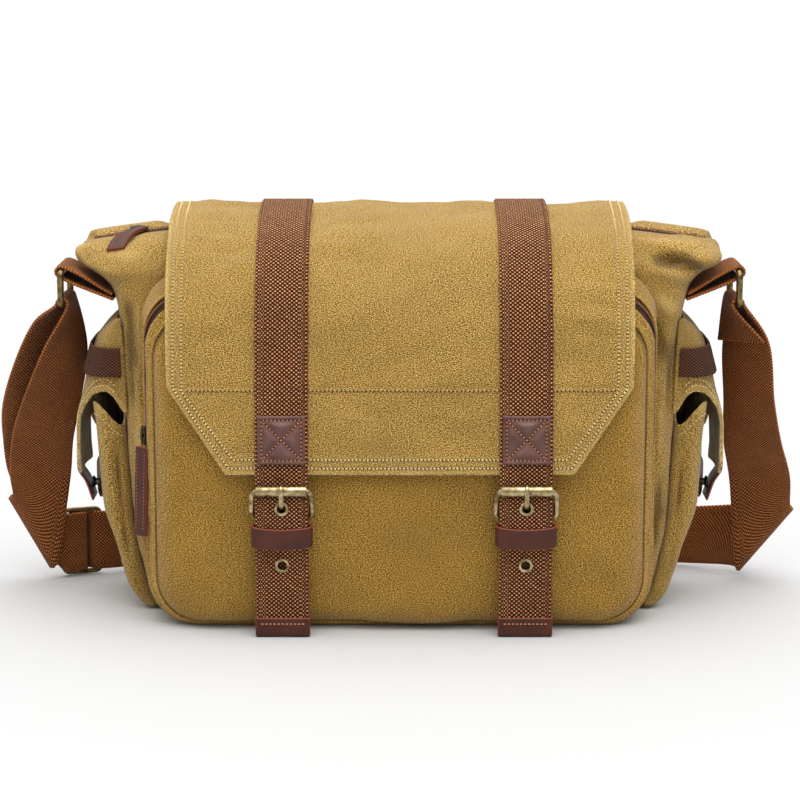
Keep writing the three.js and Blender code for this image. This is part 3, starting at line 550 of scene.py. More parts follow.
def mixed(tree, share, first, second, way="MIX"):
    inputs = {0: share, 6: first, 7: second}
    return put(tree, "Mix", inputs, data_type="RGBA", blend_type=way).outputs[2]


def spread(tree, value, low, high, to_low=0.0, to_high=1.0):
    inputs = {0: value, 1: low, 2: high, 3: to_low, 4: to_high}
    return put(tree, "MapRange", inputs, clamp=True).outputs[0]


def noise(tree, vector, scale, detail=2.0, roughness=0.55):
    inputs = {"Vector": vector, "Scale": scale, "Detail": detail, "Roughness": roughness}
    return put(tree, "TexNoise", inputs).outputs["Fac"]


def stretched(tree, vector, scale):
    return put(tree, "Mapping", {"Vector": vector, "Scale": scale}).outputs[0]


def in_sizes(tree, place, size):
    """A place counted in steps of a size."""
    scale = maths(tree, "DIVIDE", 1.0, size)
    return put(tree, "VectorMath", {0: place, "Scale": scale}, operation="SCALE").outputs[0]

def colour(red, green, blue):
    """A linear colour from the numbers of a screen colour."""
    shares = np.array([red, green, blue]) / 255
    linear = np.where(shares <= 0.04045, shares / 12.92, ((shares + 0.055) / 1.055) ** 2.4)
    return (*linear, 1.0)


def new_group(name, inputs, outputs):
    tree = bpy.data.node_groups.new(name, "ShaderNodeTree")
    for label, kind, value in inputs:
        socket = tree.interface.new_socket(label, in_out="INPUT", socket_type="NodeSocket" + kind)
        if value is not None:
            socket.default_value = value
    for label, kind in outputs:
        tree.interface.new_socket(label, in_out="OUTPUT", socket_type="NodeSocket" + kind)
    return tree, tree.nodes.new("NodeGroupInput").outputs, tree.nodes.new("NodeGroupOutput").inputs


def placed_group(tree, group, inputs):
    node = put(tree, "Group", node_tree=group)
    feed(tree, node, inputs)
    return node.outputs


def canvas_threads():
    """Uneven cotton threads both ways: a tone for the colour and a height for the bump."""
    tree, given, out = new_group(
        "canvas threads",
        [("Place", "Vector", None), ("Thread Width", "Float", 0.0009)],
        [("Tone", "Float"), ("Height", "Float")],
    )
    fine = in_sizes(tree, given["Place"], given["Thread Width"])
    warp = noise(tree, stretched(tree, fine, (1.0, 0.7, 1.0)), 1.0, roughness=0.5)
    weft = noise(tree, stretched(tree, fine, (0.45, 1.0, 1.0)), 1.0, roughness=0.5)
    tone = times(tree, maths(tree, "ADD", warp, weft), 0.5)
    tree.links.new(spread(tree, tone, 0.455, 0.545), out["Tone"])
    tree.links.new(spread(tree, tone, 0.36, 0.64), out["Height"])
    return tree


def webbing_weave():
    """Staggered ribs of coarse webbing: flecks of bare thread, and the height of the ribs."""
    tree, given, out = new_group(
        "webbing weave",
        [("Place", "Vector", None), ("Across", "Float", 0.0021), ("Along", "Float", 0.0021),
         ("Wander", "Float", 0.3), ("Width", "Float", 0.032)],
        [("Fleck", "Float"), ("Height", "Float")],
    )
    parts = put(tree, "SeparateXYZ", {0: given["Place"]}).outputs
    shift = times(tree, maths(tree, "SUBTRACT", noise(tree, given["Place"], 420.0), 0.5), given["Wander"])
    half = times(tree, given["Width"], 0.5)
    from_middle = maths(tree, "ABSOLUTE", maths(tree, "SUBTRACT", parts[0], half))
    from_edge = maths(tree, "SUBTRACT", half, from_middle)
    # The selvedge, a stripe of denser ribs along both edges
    stripe_ends = spread(tree, from_edge, 0.0018, 0.0022), spread(tree, from_edge, 0.0046, 0.0042)
    denser = maths(tree, "ADD", times(tree, times(tree, *stripe_ends), 0.6), 1.0)
    waves = []
    ways = (
        (times(tree, parts[0], denser), given["Across"], 1.0),
        (parts[1], given["Along"], -1.0),
    )
    for part, pitch, turn in ways:
        turned = maths(tree, "ADD", maths(tree, "DIVIDE", part, pitch), times(tree, shift, turn))
        waves.append(maths(tree, "COSINE", times(tree, turned, 2 * math.pi)))
    ribs = times(tree, *waves)
    patchy = maths(tree, "SUBTRACT", noise(tree, given["Place"], 900.0, 1.0), 0.5)
    fleck = maths(tree, "ADD", ribs, times(tree, patchy, 1.1))
    tree.links.new(spread(tree, fleck, 0.35, 0.95), out["Fleck"])
    tree.links.new(spread(tree, ribs, -0.5, 0.5), out["Height"])
    return tree


def ageing():
    """Large soft patches of lighter and darker cloth or hide."""
    tree, given, out = new_group(
        "ageing",
        [("Place", "Vector", None), ("Patch Size", "Float", 0.03)],
        [("Patches", "Float")],
    )
    broad = noise(tree, in_sizes(tree, given["Place"], given["Patch Size"]), 1.0, 4.0, 0.6)
    tree.links.new(spread(tree, broad, 0.33, 0.67), out["Patches"])
    return tree


THREADS = canvas_threads()
WEAVE = webbing_weave()
AGEING = ageing()


def new_material(name):
    material = bpy.data.materials.new(name)
    material.use_nodes = True
    tree = material.node_tree
    shader = next(node for node in tree.nodes if node.type == "BSDF_PRINCIPLED")
    return material, tree, shader


def uv_place(tree):
    return put(tree, "UVMap", uv_map="UVMap").outputs[0]


def solid_place(tree):
    return put(tree, "TexCoord").outputs["Object"]


def aged(tree, size):
    """The ageing group's patches, of a size in metres."""
    return placed_group(tree, AGEING, {"Place": solid_place(tree), "Patch Size": size})["Patches"]


def point_value(tree, name):
    return put(tree, "Attribute", attribute_type="GEOMETRY", attribute_name=name).outputs["Fac"]


def bumped(tree, height, strength, distance):
    return put(tree, "Bump", {"Height": height, "Strength": strength, "Distance": distance}).outputs[0]


def canvas_material(name, light, dark, pale, lining=None):
    """Washed cotton canvas: pale where hems rub, with painted shade that darkens its creases, stitching
    ditches and the recesses beside seams.
    """
    material, tree, shader = new_material(name)
    threads = placed_group(tree, THREADS, {"Place": uv_place(tree), "Thread Width": CANVAS_THREAD})
    patches = aged(tree, 0.035)
    base = mixed(tree, threads["Tone"], dark, mixed(tree, times(tree, patches, 0.25), light, dark))
    base = mixed(tree, spread(tree, threads["Tone"], 0.7, 1.0, 0.0, 0.6), base, pale)
    cloth_marks = times(tree, point_value(tree, "hem"), spread(tree, patches, 0.1, 0.9, 0.25, 0.6))
    base = mixed(tree, cloth_marks, base, pale)
    # Painted shade: the cloth darkens in creases, stitching ditches and recesses beside seams, where each
    # piece marks them.
    base = mixed(tree, times(tree, point_value(tree, "shade"), 0.6), base, dark, "MULTIPLY")
    if lining:
        streaks = noise(tree, stretched(tree, uv_place(tree), (420.0, 60.0, 1.0)), 1.0, 3.0)
        inside = mixed(tree, spread(tree, streaks, 0.35, 0.65), lining, LINING_STREAKS)
        base = mixed(tree, point_value(tree, "inside"), base, inside)
    feed(tree, shader, {
        "Base Color": base, "Roughness": spread(tree, threads["Tone"], 0.0, 1.0, 0.98, 0.86),
        "Sheen Weight": 0.25, "Sheen Roughness": 0.35, "Specular IOR Level": 0.2,
        "Normal": bumped(tree, threads["Height"], 0.8, 0.0006),
    })
    return material


def webbing_material(name, thread, gap, fleck, width, across, along, fleck_share):
    """Cotton webbing: staggered flecks of pale thread on brown ribs, with dark gaps between."""
    material, tree, shader = new_material(name)
    sizes = {"Place": uv_place(tree), "Across": across, "Along": along, "Width": width}
    weave = placed_group(tree, WEAVE, sizes)
    base = mixed(tree, weave["Height"], gap, thread)
    base = mixed(tree, times(tree, weave["Fleck"], fleck_share), base, fleck)
    base = mixed(tree, times(tree, aged(tree, 0.02), 0.2), base, gap)
    feed(tree, shader, {
        "Base Color": mixed(tree, times(tree, point_value(tree, "rim"), 0.9), base, thread),
        "Roughness": spread(tree, weave["Fleck"], 0.0, 1.0, 0.85, 0.62),
        "Sheen Weight": 0.05, "Specular IOR Level": 0.2,
        "Normal": bumped(tree, weave["Height"], 0.9, 0.0008),
    })
    return material


def leather_material(name, hide, deep, cut_edge):
    """Waxed hide with fine grain, and raw reddish cut edges."""
    material, tree, shader = new_material(name)
    place = solid_place(tree)
    cells = put(tree, "TexVoronoi", {"Vector": place, "Scale": 1500.0}).outputs["Distance"]
    patches = aged(tree, 0.012)
    base = mixed(tree, patches, deep, hide)
    base = mixed(tree, spread(tree, cells, 0.0, 0.7, 0.0, 0.18), base, hide)
    grain = maths(tree, "ADD", cells, noise(tree, place, 320.0))
    feed(tree, shader, {
        "Base Color": mixed(tree, point_value(tree, "rim"), base, cut_edge),
        "Roughness": spread(tree, patches, 0.0, 1.0, 0.38, 0.52),
        "Specular IOR Level": 0.35, "Normal": bumped(tree, grain, 0.25, 0.0005),
    })
    return material


def brass_material(name, bright, dark):
    """Antique brass: dark in its patches, brighter where it is handled."""
    material, tree, shader = new_material(name)
    patches = aged(tree, 0.004)
    specks = noise(tree, solid_place(tree), 2600.0)
    base = mixed(tree, patches, dark, bright)
    feed(tree, shader, {
        "Base Color": mixed(tree, spread(tree, specks, 0.62, 0.8, 0.0, 0.7), base, dark),
        "Roughness": spread(tree, patches, 0.0, 1.0, 0.42, 0.26),
        "Metallic": 1.0, "Normal": bumped(tree, specks, 0.15, 0.0003),
    })
    return material


def thread_material(name, pale, dark):
    """Twisted sewing thread."""
    material, tree, shader = new_material(name)
    twist = {"Vector": uv_place(tree), "Scale": 900.0, "Distortion": 1.0}
    strands = put(tree, "TexWave", twist).outputs["Fac"]
    base = mixed(tree, times(tree, aged(tree, 0.006), 0.6), pale, dark)
    feed(tree, shader, {
        "Base Color": mixed(tree, times(tree, strands, 0.35), base, dark),
        "Roughness": 0.75, "Normal": bumped(tree, strands, 0.3, 0.0002),
    })
    return material


CANVAS_THREAD = 0.00044
LINING_STREAKS = colour(206, 188, 146)


CANVAS_TONES = (colour(216, 168, 70), colour(86, 58, 10), colour(252, 218, 140))
CANVAS = canvas_material("washed canvas", *CANVAS_TONES)
# A darker, more saturated copy of the canvas for the front pocket: painted shade, as the pocket sits low,
# under the flap.
SHADED_POCKET_TONES = (colour(206, 154, 54), colour(82, 52, 7), colour(240, 200, 110))
SHADED_POCKET_CANVAS = canvas_material("shaded pocket canvas", *SHADED_POCKET_TONES)
LINED_CANVAS = canvas_material("lined canvas", *CANVAS_TONES, lining=colour(150, 132, 92))
STRAP_WEBBING = webbing_material(
    "closing strap webbing", colour(132, 62, 26), colour(30, 10, 3), colour(255, 196, 126),
    width=0.032, across=0.003, along=0.0026, fleck_share=0.9,
)
SHOULDER_WEBBING = webbing_material(
    "shoulder strap webbing", colour(166, 92, 34), colour(46, 18, 5), colour(236, 158, 84),
    width=0.04, across=0.0026, along=0.0021, fleck_share=0.7,
)
BAND_WEBBING = webbing_material(
    "side band webbing", colour(104, 62, 38), colour(36, 16, 9), colour(142, 92, 60),
    width=0.02, across=0.0026, along=0.0021, fleck_share=0.5,
)
HIDE = leather_material("waxed leather", colour(84, 38, 21), colour(56, 22, 12), colour(150, 72, 50))
# A lighter copy of the strap leather for the patches: painted light, as the patches catch more of the
# overhead light than the keepers and tips.
LIT_PATCH_HIDE = leather_material(
    "patch leather", colour(112, 78, 70), colour(80, 50, 45), colour(150, 92, 78)
)
BRASS = brass_material("antique brass", colour(206, 188, 144), colour(110, 90, 56))
BRONZE = brass_material("dark bronze", colour(150, 126, 84), colour(72, 58, 36))
DARK_METAL = brass_material("dark zip metal", colour(96, 88, 76), colour(44, 38, 32))
CREAM_THREAD = thread_material("cream thread", colour(240, 218, 160), colour(206, 174, 112))
TAN_THREAD = thread_material("tan thread", colour(206, 172, 104), colour(150, 118, 62))
PULL_THREAD = thread_material("pull thread", colour(186, 130, 104), colour(120, 74, 58))
ORANGE_THREAD = thread_material("orange thread", colour(226, 148, 96), colour(176, 96, 56))
# Dark dots between the stitches: painted shade in the needle holes.
NEEDLE_HOLE_SHADE = thread_material("needle hole shade", colour(70, 42, 20), colour(34, 18, 9))
ZIP_TAPE = webbing_material(
    "zip tape", colour(112, 74, 48), colour(58, 36, 24), colour(140, 96, 62),
    width=0.0124, across=0.0009, along=0.0011, fleck_share=0.4,
)
ZIP_COIL = thread_material("zip coil", colour(150, 98, 62), colour(70, 42, 28))


# Main body

# Rise is a share of the body's height, reach of its half width, front and back of their own depths.
# Crown is how far the row takes part in the roof's rise towards the middle.
BODY_ROWS = np.array([
    # rise, reach, front, back, crown
    [0, 0.86, 0.6, 0.86, 0],
    [0.012, 0.895, 0.85, 0.93, 0],
    [0.04, 0.925, 0.96, 0.97, 0],
    [0.12, 0.955, 1, 1, 0],
    [0.24, 0.985, 1, 1, 0],
    [0.44, 1, 1, 1, 0],
    [0.65, 1.01, 1, 1, 0],
    [0.78, 1.02, 1, 1, 0],
    [0.86, 1.04, 1, 1, 0.2],
    [0.91, 1.09, 1, 1, 0.5],
    [0.955, 1.16, 0.72, 0.93, 0.8],
    [0.985, 1.175, 0.42, 0.88, 0.95],
    [1, 1.165, 0, 0.8, 1],
])
# Broad folds of the wings: side, height share, spread share, push out of the front
WING_FOLDS = ((1, 0.965, 0.03, 0.3), (1, 0.9, 0.035, -0.3), (-1, 0.88, 0.03, -0.12))
# Creases of the body's cloth: where each starts and ends, its width and how far it stands out
BODY_CREASES = (
    ((152, -14, 248), (204, -6, 238), 6.0, 2.6),
    ((160, -26, 239), (196, -20, 227), 5.5, -6.5),
    ((166, -27, 226), (202, -18, 219), 5.0, 3.0),
    ((186, -22, 217), (206, -16, 224), 2.4, -3.0),
    ((158, -28, 214), (184, -25, 196), 7.0, 2.2),
    ((160, -28, 200), (172, -27, 170), 5.0, -2.2),
    ((-160, -22, 236), (-200, -14, 230), 6.0, 2.0),
    ((-198, -10, 237), (-214, 4, 232), 6.0, 3.5),
    ((-206, -8, 240), (-194, -20, 224), 3.0, -2.6),
    ((-176, -27, 206), (-172, -28, 160), 3.5, -2.8),
    ((-166, -28, 208), (-165, -28, 160), 3.5, 1.8),
    ((-178, -10, 190), (-178, -22, 150), 4.5, 2.2),
    ((-178, -26, 186), (-174, -27, 128), 3.2, -2.4),
    ((-170, -28, 150), (-168, -28, 90), 3.2, 1.6),
    ((178, -14, 180), (178, -22, 130), 4.5, 2.2),
    ((178, -26, 176), (174, -27, 118), 3.2, -2.4),
    ((170, -28, 150), (168, -28, 90), 3.2, 1.6),
    ((-172, -27, 96), (-164, -26, 30), 4.0, -2.2),
    ((-178, -22, 78), (-162, -28, 66), 3.0, -1.8),
    ((172, -27, 96), (164, -26, 34), 4.0, -2.2),
    ((178, -22, 70), (162, -28, 56), 3.0, -1.8),
)


def body_reach(z):
    return np.interp(z / BODY_HEIGHT, BODY_ROWS[:, 0], BODY_ROWS[:, 1]) * BODY_HALF_WIDTH


def crown_at(x):
    return CROWN_RISE * (1 - (x / BODY_HALF_WIDTH) ** 2)


def body_row(row):
    rise, reach, front, back, crown = row
    half = reach * BODY_HALF_WIDTH
    outline = box_outline(-half, half, -front * BODY_FRONT, back * BODY_BACK, BODY_CORNER, 100, 18)
    x, y = outline[::-1].T
    push = np.zeros(len(x))
    for side, height, reach_share, depth in WING_FOLDS:
        outward = ramp(side * x, 0.93 * BODY_HALF_WIDTH, 1.08 * BODY_HALF_WIDTH)
        push += outward * depth * BODY_FRONT * np.exp(-(((rise - height) / reach_share) ** 2))
    y = y - push * ramp(TOP_ZIP_Y - y, 0, TOP_ZIP_Y)
    return grid_of(x, y, rise * BODY_HEIGHT + crown * crown_at(x))


def body_mouth():
    half = TOP_ZIP_WIDTH / 2 + GAP
    end = TOP_ZIP_HALF_LENGTH + GAP
    x, y = box_outline(-end, end, TOP_ZIP_Y - half, TOP_ZIP_Y + half, 2 * GAP, 100, 18)[::-1].T
    return grid_of(x, y, BODY_HEIGHT + crown_at(x))


def sewn_cup(cut, skin, wall, uvs, **values):
    """A cup of cloth from the middle of its base to its mouth, and back down inside."""
    inner = skin - grid_normals(skin, wrapped=True) * wall
    rim = (skin[-1] + inner[-1]) / 2 + unit(skin[-1] - skin[-2]) * 0.4 * wall
    rings = np.concatenate([skin, rim[None], inner[::-1]])
    inside = np.concatenate([np.zeros(len(skin)), [0.5], np.ones(len(skin))])[:, None]
    uvs, *shown = (
        np.concatenate([value, value[-1:], value[::-1]]) for value in (uvs, *values.values())
    )
    cut.grid(rings, uvs, capped=True, inside=inside, **dict(zip(values, shown)))


def make_body():
    keys = np.arange(len(BODY_ROWS))
    fine = through(keys, BODY_ROWS, np.linspace(0, keys[-1], 110))
    middle = np.array([0, TOP_ZIP_Y, 0])
    skin = [middle + share * (body_row(fine[0]) - middle) for share in (0.02, 0.5)]
    skin += [body_row(row) for row in fine]
    roof_start, roof_end = skin[-1], body_mouth()
    for share in np.linspace(0, 1, 9)[1:]:
        ring = roof_start + share * (roof_end - roof_start)
        behind = ramp(ring[:, 1], TOP_ZIP_Y + 4, TOP_ZIP_Y + 9) * ramp(np.abs(ring[:, 0]), 150, 162)
        ring[:, 2] += ROOF_SWELL * behind * np.sin(np.pi * share) ** 0.7
        skin.append(ring)
    skin = np.array(skin)
    uvs = flat_uvs(joined(skin))
    normals = grid_normals(skin, wrapped=True)
    loose = ramp(skin[..., 2], 5, 40) * ramp(np.abs(skin[..., 0]), 120, 165)
    moved = fold_field(skin, BODY_CREASES) + 0.5 * loose * swell(skin, 38, 3) + 0.25 * swell(skin, 15, 5)
    moved *= ramp(skin[..., 2], 2, 12) * (1 - ramp(skin[..., 2], 244, 247))
    skin = skin + normals * np.minimum(moved, 3.5)[..., None]
    # Painted shade in the dents of the creases.
    cloth_marks = {"shade": ramp(-moved, 0.3, 2.0), "hem": ramp(moved, 0.8, 2.5) * 0.6}
    make_piece("body_canvas", LINED_CANVAS, "main_body", "canvas", sewn_cup, skin, BODY_WALL, uvs, **cloth_marks)


make_body()


# Top zip

def make_top_zip():
    x = np.linspace(-TOP_ZIP_HALF_LENGTH, TOP_ZIP_HALF_LENGTH, 120)[:, None]
    y = np.linspace(TOP_ZIP_Y - TOP_ZIP_WIDTH / 2, TOP_ZIP_Y + TOP_ZIP_WIDTH / 2, 9)
    grid = grid_of(x, y, BODY_HEIGHT + crown_at(x))
    make_piece("top_zip_tape", ZIP_TAPE, "top_zip", "zip_tape", lay_sheet, grid, ZIP_THICKNESS)
    coil = grid[:, 4] + [0, 0, 1.1]
    upward = np.broadcast_to([0, 0, 1], coil.shape)
    teeth = [(coil + [0, side * 1.1, 0], upward) for side in (-1, 1)]
    thread_piece("top_zip_coil", teeth, ZIP_COIL, "zip_tape", length=2.8, width=0.65, **COIL)


make_top_zip()


# Front pocket

POCKET_ROWS = np.array([
    # depth, reach, top and low rise, as shares of the pocket's depth, half width and top
    [0, 1, 1, 0],
    [0.06, 1, 1, 0],
    [0.38, 0.995, 0.965, 0],
    [0.58, 0.98, 0.925, 0],
    [0.64, 0.96, 0.9, 0.008],
    [0.74, 0.945, 0.865, 0.013],
    [0.81, 0.93, 0.8, 0.022],
    [0.9, 0.88, 0.708, 0.045],
    [0.96, 0.76, 0.61, 0.12],
    [0.99, 0.5, 0.522, 0.24],
    [1, 0.02, 0.405, 0.395],
])
POCKET_CREASES = (
    ((-150, -74, 150), (-146, -75, 60), 5.0, 1.4),
    ((-140, -77, 120), (-120, -77, 20), 6.0, -1.3),
    ((-128, -77, 92), (-104, -77, 84), 4.0, 1.1),
    ((140, -77, 78), (112, -77, 36), 4.5, 1.7),
    ((148, -75, 92), (128, -77, 58), 4.5, -1.8),
    ((150, -74, 104), (140, -76, 84), 4.0, 1.6),
    ((104, -77, 30), (78, -77, 22), 4.0, 1.3),
    ((118, -77, 24), (90, -77, 42), 4.5, -1.2),
    ((148, -74, 150), (142, -76, 112), 5.0, 1.5),
    ((-40, -78, 100), (30, -78, 96), 9.0, 0.8),
)


def pocket_y(depth):
    return -(BODY_FRONT + GAP + depth * POCKET_DEPTH)


def pocket_row(depth):
    return through(POCKET_ROWS[:, 0], POCKET_ROWS, [depth])[0]


def pocket_ring(depth, across=90, along=46):
    _, reach, top, low = pocket_row(depth)
    half = reach * POCKET_HALF_WIDTH
    bottom = POCKET_BOTTOM + low * POCKET_TOP
    high = top * POCKET_TOP
    radius = min(POCKET_CORNER, 0.48 * (high - bottom), 0.48 * 2 * half)
    x, z = box_outline(-half, half, bottom, high, radius, across, along, corner=12).T
    return grid_of(x, pocket_y(depth), z)


def pocket_skin(depths):
    return np.array([pocket_ring(depth) for depth in depths])


def ring_stitch_path(depth, lift):
    """A path round the pocket's side band at a depth, and the directions straight out of it."""
    ring = pocket_ring(depth, 300, 150)
    outward = np.cross([0, 1, 0], unit(np.roll(ring, -1, axis=0) - np.roll(ring, 1, axis=0)))
    return ring + lift * outward, outward


def band_arch(depth, start_z, end_z, side, turns):
    """The outline of the side band at a depth: up or down its left side, along, and back."""
    half = pocket_row(depth)[1] * POCKET_HALF_WIDTH
    bends = [
        arc((way * (half - POCKET_CORNER), end_z + side * POCKET_CORNER), POCKET_CORNER, *turn, 14)
        for way, turn in zip((-1, 1), turns)
    ]
    return np.vstack([[-half, start_z], *bends, [half, start_z]])


def below_zip(depth):
    """The round of the side band below the zip's ends, from one side to the other."""
    bottom = POCKET_BOTTOM + pocket_row(depth)[3] * POCKET_TOP
    return band_arch(depth, POCKET_ZIP_LOW, bottom, 1, ((180, 270), (270, 360)))


def zip_arch(depth, low):
    """The round of the side band over the zip, from one of its ends to the other."""
    high = pocket_row(depth)[2] * POCKET_TOP
    outline = band_arch(depth, low, high, -1, ((180, 90), (90, 0)))
    return evenly(outline, int(lengths_along(outline)[-1] / 3))


def band_strip(depths, arch, count):
    """A grid along an arch of the side band, from the first of the depths to the last."""
    rows = []
    for depth in depths:
        x, z = evenly(arch(depth), count).T
        rows.append(grid_of(x, pocket_y(depth), z))
    return np.array(rows).transpose(1, 0, 2)


def make_pocket():
    # The side band behind the piping, from the body to the zip and from the zip to the panel
    cut = Cut()
    for first, last, steps in ((0.0, ZIP_REAR, 10), (ZIP_FRONT, PANEL_START, 6)):
        band = pocket_skin(np.linspace(last, first, steps))
        loose = swell(band, 26, 11) * 0.5 * np.sin(np.linspace(0, np.pi, steps))[:, None]
        band = joined(band + grid_normals(band, wrapped=True) * loose[..., None])
        hem = np.zeros(band.shape[:2])
        hem[0] = 0.5
        lay_sheet(cut, band[:, ::-1], POCKET_WALL, hem=hem)
    strip = band_strip(np.linspace(ZIP_FRONT + 0.01, ZIP_REAR - 0.01, 6), below_zip, 170)
    lay_centred(cut, strip, 1.2, np.array([0, 0, -1]))
    cut.make("pocket_side_band", SHADED_POCKET_CANVAS, "front_pocket")
    rows = [ring_stitch_path(depth, 0.8) for depth in (ZIP_REAR - 0.07, ZIP_FRONT + 0.035)]
    thread_piece("pocket_band_stitches", rows, TAN_THREAD, width=0.5, pitch=2.6, length=1.8)
    # The front panel, full and crowned
    skin = pocket_skin(1 - (1 - PANEL_START) * np.linspace(0, 1, 50) ** 2)
    normals = grid_normals(skin, wrapped=True)
    from_middle = np.linspace(0, 1, len(skin))[:, None]
    moved = 1.0 * swell(skin, 60, 21) + 0.35 * swell(skin, 24, 22) + fold_field(skin, POCKET_CREASES)
    moved = ramp(1 - from_middle, 0.02, 0.2) * moved
    skin = skin + normals * moved[..., None]
    uvs = joined(skin)[..., [0, 2]]
    rings, uvs, inside, from_middle = (
        np.concatenate([outer, inner[::-1]]) for outer, inner in (
            (skin, skin - normals * POCKET_WALL), (uvs, uvs),
            (0 * from_middle, 0 * from_middle + 1), (from_middle, from_middle[::-1]),
        )
    )
    # Painted shade round the panel's edge, in the recess beside the piping.
    cloth_marks = {"hem": ramp(from_middle, 0.95, 1) * 0.18, "shade": ramp(from_middle, 0.93, 1)}
    names = ("pocket_panel", SHADED_POCKET_CANVAS, "front_pocket", "canvas")
    make_piece(*names, Cut.grid, rings, uvs, inside=inside, **cloth_marks)
    # Piping round the panel
    ring = pocket_ring(0.62)
    outward = unit((ring - ring.mean(axis=0)) * [1, 0, 1])
    names = ("pocket_piping", SHADED_POCKET_CANVAS, None, "canvas")
    make_piece(*names, lay_tube, ring + outward * 0.6, 1.7, [0, 1, 0], closed=True, sides=12, hem=0.35)


make_pocket()


def make_front_zip():
    count = len(zip_arch(0.48, POCKET_ZIP_LOW))
    depths = np.linspace(ZIP_FRONT - 0.012, ZIP_REAR + 0.012, 7)
    grid = band_strip(depths, lambda depth: zip_arch(depth, POCKET_ZIP_LOW + GAP), count)
    make_piece("front_zip_tape", ZIP_TAPE, "front_zip", "zip_tape", lay_sheet, grid, ZIP_THICKNESS)
    middle = grid[:, 3]
    outward = np.cross(unit(np.gradient(middle, axis=0)), [0, 1, 0])
    teeth = [(middle + [0, side * 1.2, 0] + 1.0 * outward, outward) for side in (-1, 1)]
    thread_piece("front_zip_coil", teeth, ZIP_COIL, "zip_tape", length=2.6, width=0.62, **COIL)


make_front_zip()


# Main flap

FLAP_ROWS = np.array([
    # back, front, height and half width, as shares
    [1, 0, 0.856, 1],
    [1, 0, 0.909, 1],
    [0.927, 0, 0.962, 1],
    [0.773, 0, 0.989, 1],
    [0.541, 0, 1, 1],
    [0.155, 0, 0.992, 1],
    [0, 0.119, 0.975, 1],
    [0, 0.298, 0.955, 0.998],
    [0, 0.476, 0.92, 0.997],
    [0, 0.619, 0.867, 0.996],
    [0, 0.738, 0.803, 0.994],
    [0, 0.821, 0.739, 0.992],
    [0, 0.905, 0.625, 0.987],
    [0, 0.917, 0.606, 0.985],
    [0, 0.964, 0.511, 0.87],
    [0, 1, 0.402, 0.74],
])
FLAP_DEPTH_BEHIND = BODY_BACK + GAP + FLAP_THICKNESS
FLAP_SIDE = np.stack([
    FLAP_ROWS[:, 0] * FLAP_DEPTH_BEHIND - FLAP_ROWS[:, 1] * FLAP_FRONT, FLAP_ROWS[:, 2] * FLAP_RIDGE,
], axis=1)
FLAP_LENGTHS = lengths_along(FLAP_SIDE)
FLAP_SEAM_Z = 160
FLAP_HEM = 11
# Rows of the flap at its ridge and where its corners are clipped, and the half width shares of a clipped edge
RIDGE_ROW = 5
CLIP_ROW = 13
CLIP_TOP, CLIP_LOW = FLAP_ROWS[[CLIP_ROW, -1], 3]
# Distances of the two rows of stitches from the flap's edge
EDGE_INSETS = (3.2, 8.6)


def flap_side_at(lengths):
    """The flap's side view at lengths along it from its back seam: y and z."""
    return through(FLAP_LENGTHS, FLAP_SIDE, lengths)


def flap_half_at(lengths):
    straight = np.interp(lengths, FLAP_LENGTHS[:CLIP_ROW + 1], FLAP_ROWS[:CLIP_ROW + 1, 3])
    clipped = np.interp(lengths, FLAP_LENGTHS[[CLIP_ROW, -1]], [CLIP_TOP, CLIP_LOW])
    return np.where(lengths < FLAP_LENGTHS[CLIP_ROW], straight, clipped) * FLAP_HALF_WIDTH


# Creases of the flap: where each starts and ends, across and up, its width and how far it stands out
FLAP_CREASES = (
    (((-138, 257), (-96, 256)), 3.0, -0.9),
    (((-136, 250), (-97, 247)), 3.0, 0.8),
    (((-130, 242), (-94, 240)), 3.2, -0.8),
    (((-56, 254), (-8, 256)), 3.4, -0.8),
    (((-54, 246), (-20, 243)), 3.2, 0.8),
    (((-50, 238), (-14, 234)), 3.6, -0.6),
    (((100, 256), (140, 254)), 3.2, -0.8),
    (((102, 221), (141, 218)), 3.0, 0.9),
    (((106, 212), (142, 208)), 2.8, -1.0),
    (((102, 203), (140, 200)), 3.0, 0.9),
    (((108, 194), (141, 190)), 2.8, -0.8),
    (((-132, 206), (-100, 190)), 4.0, 0.8),
    (((-40, 150), (-10, 141)), 5.0, -0.9),
    (((14, 146), (52, 138)), 5.0, 0.9),
    (((-128, 132), (-104, 124)), 3.6, 0.9),
    (((104, 140), (126, 126)), 3.6, 0.9),
)


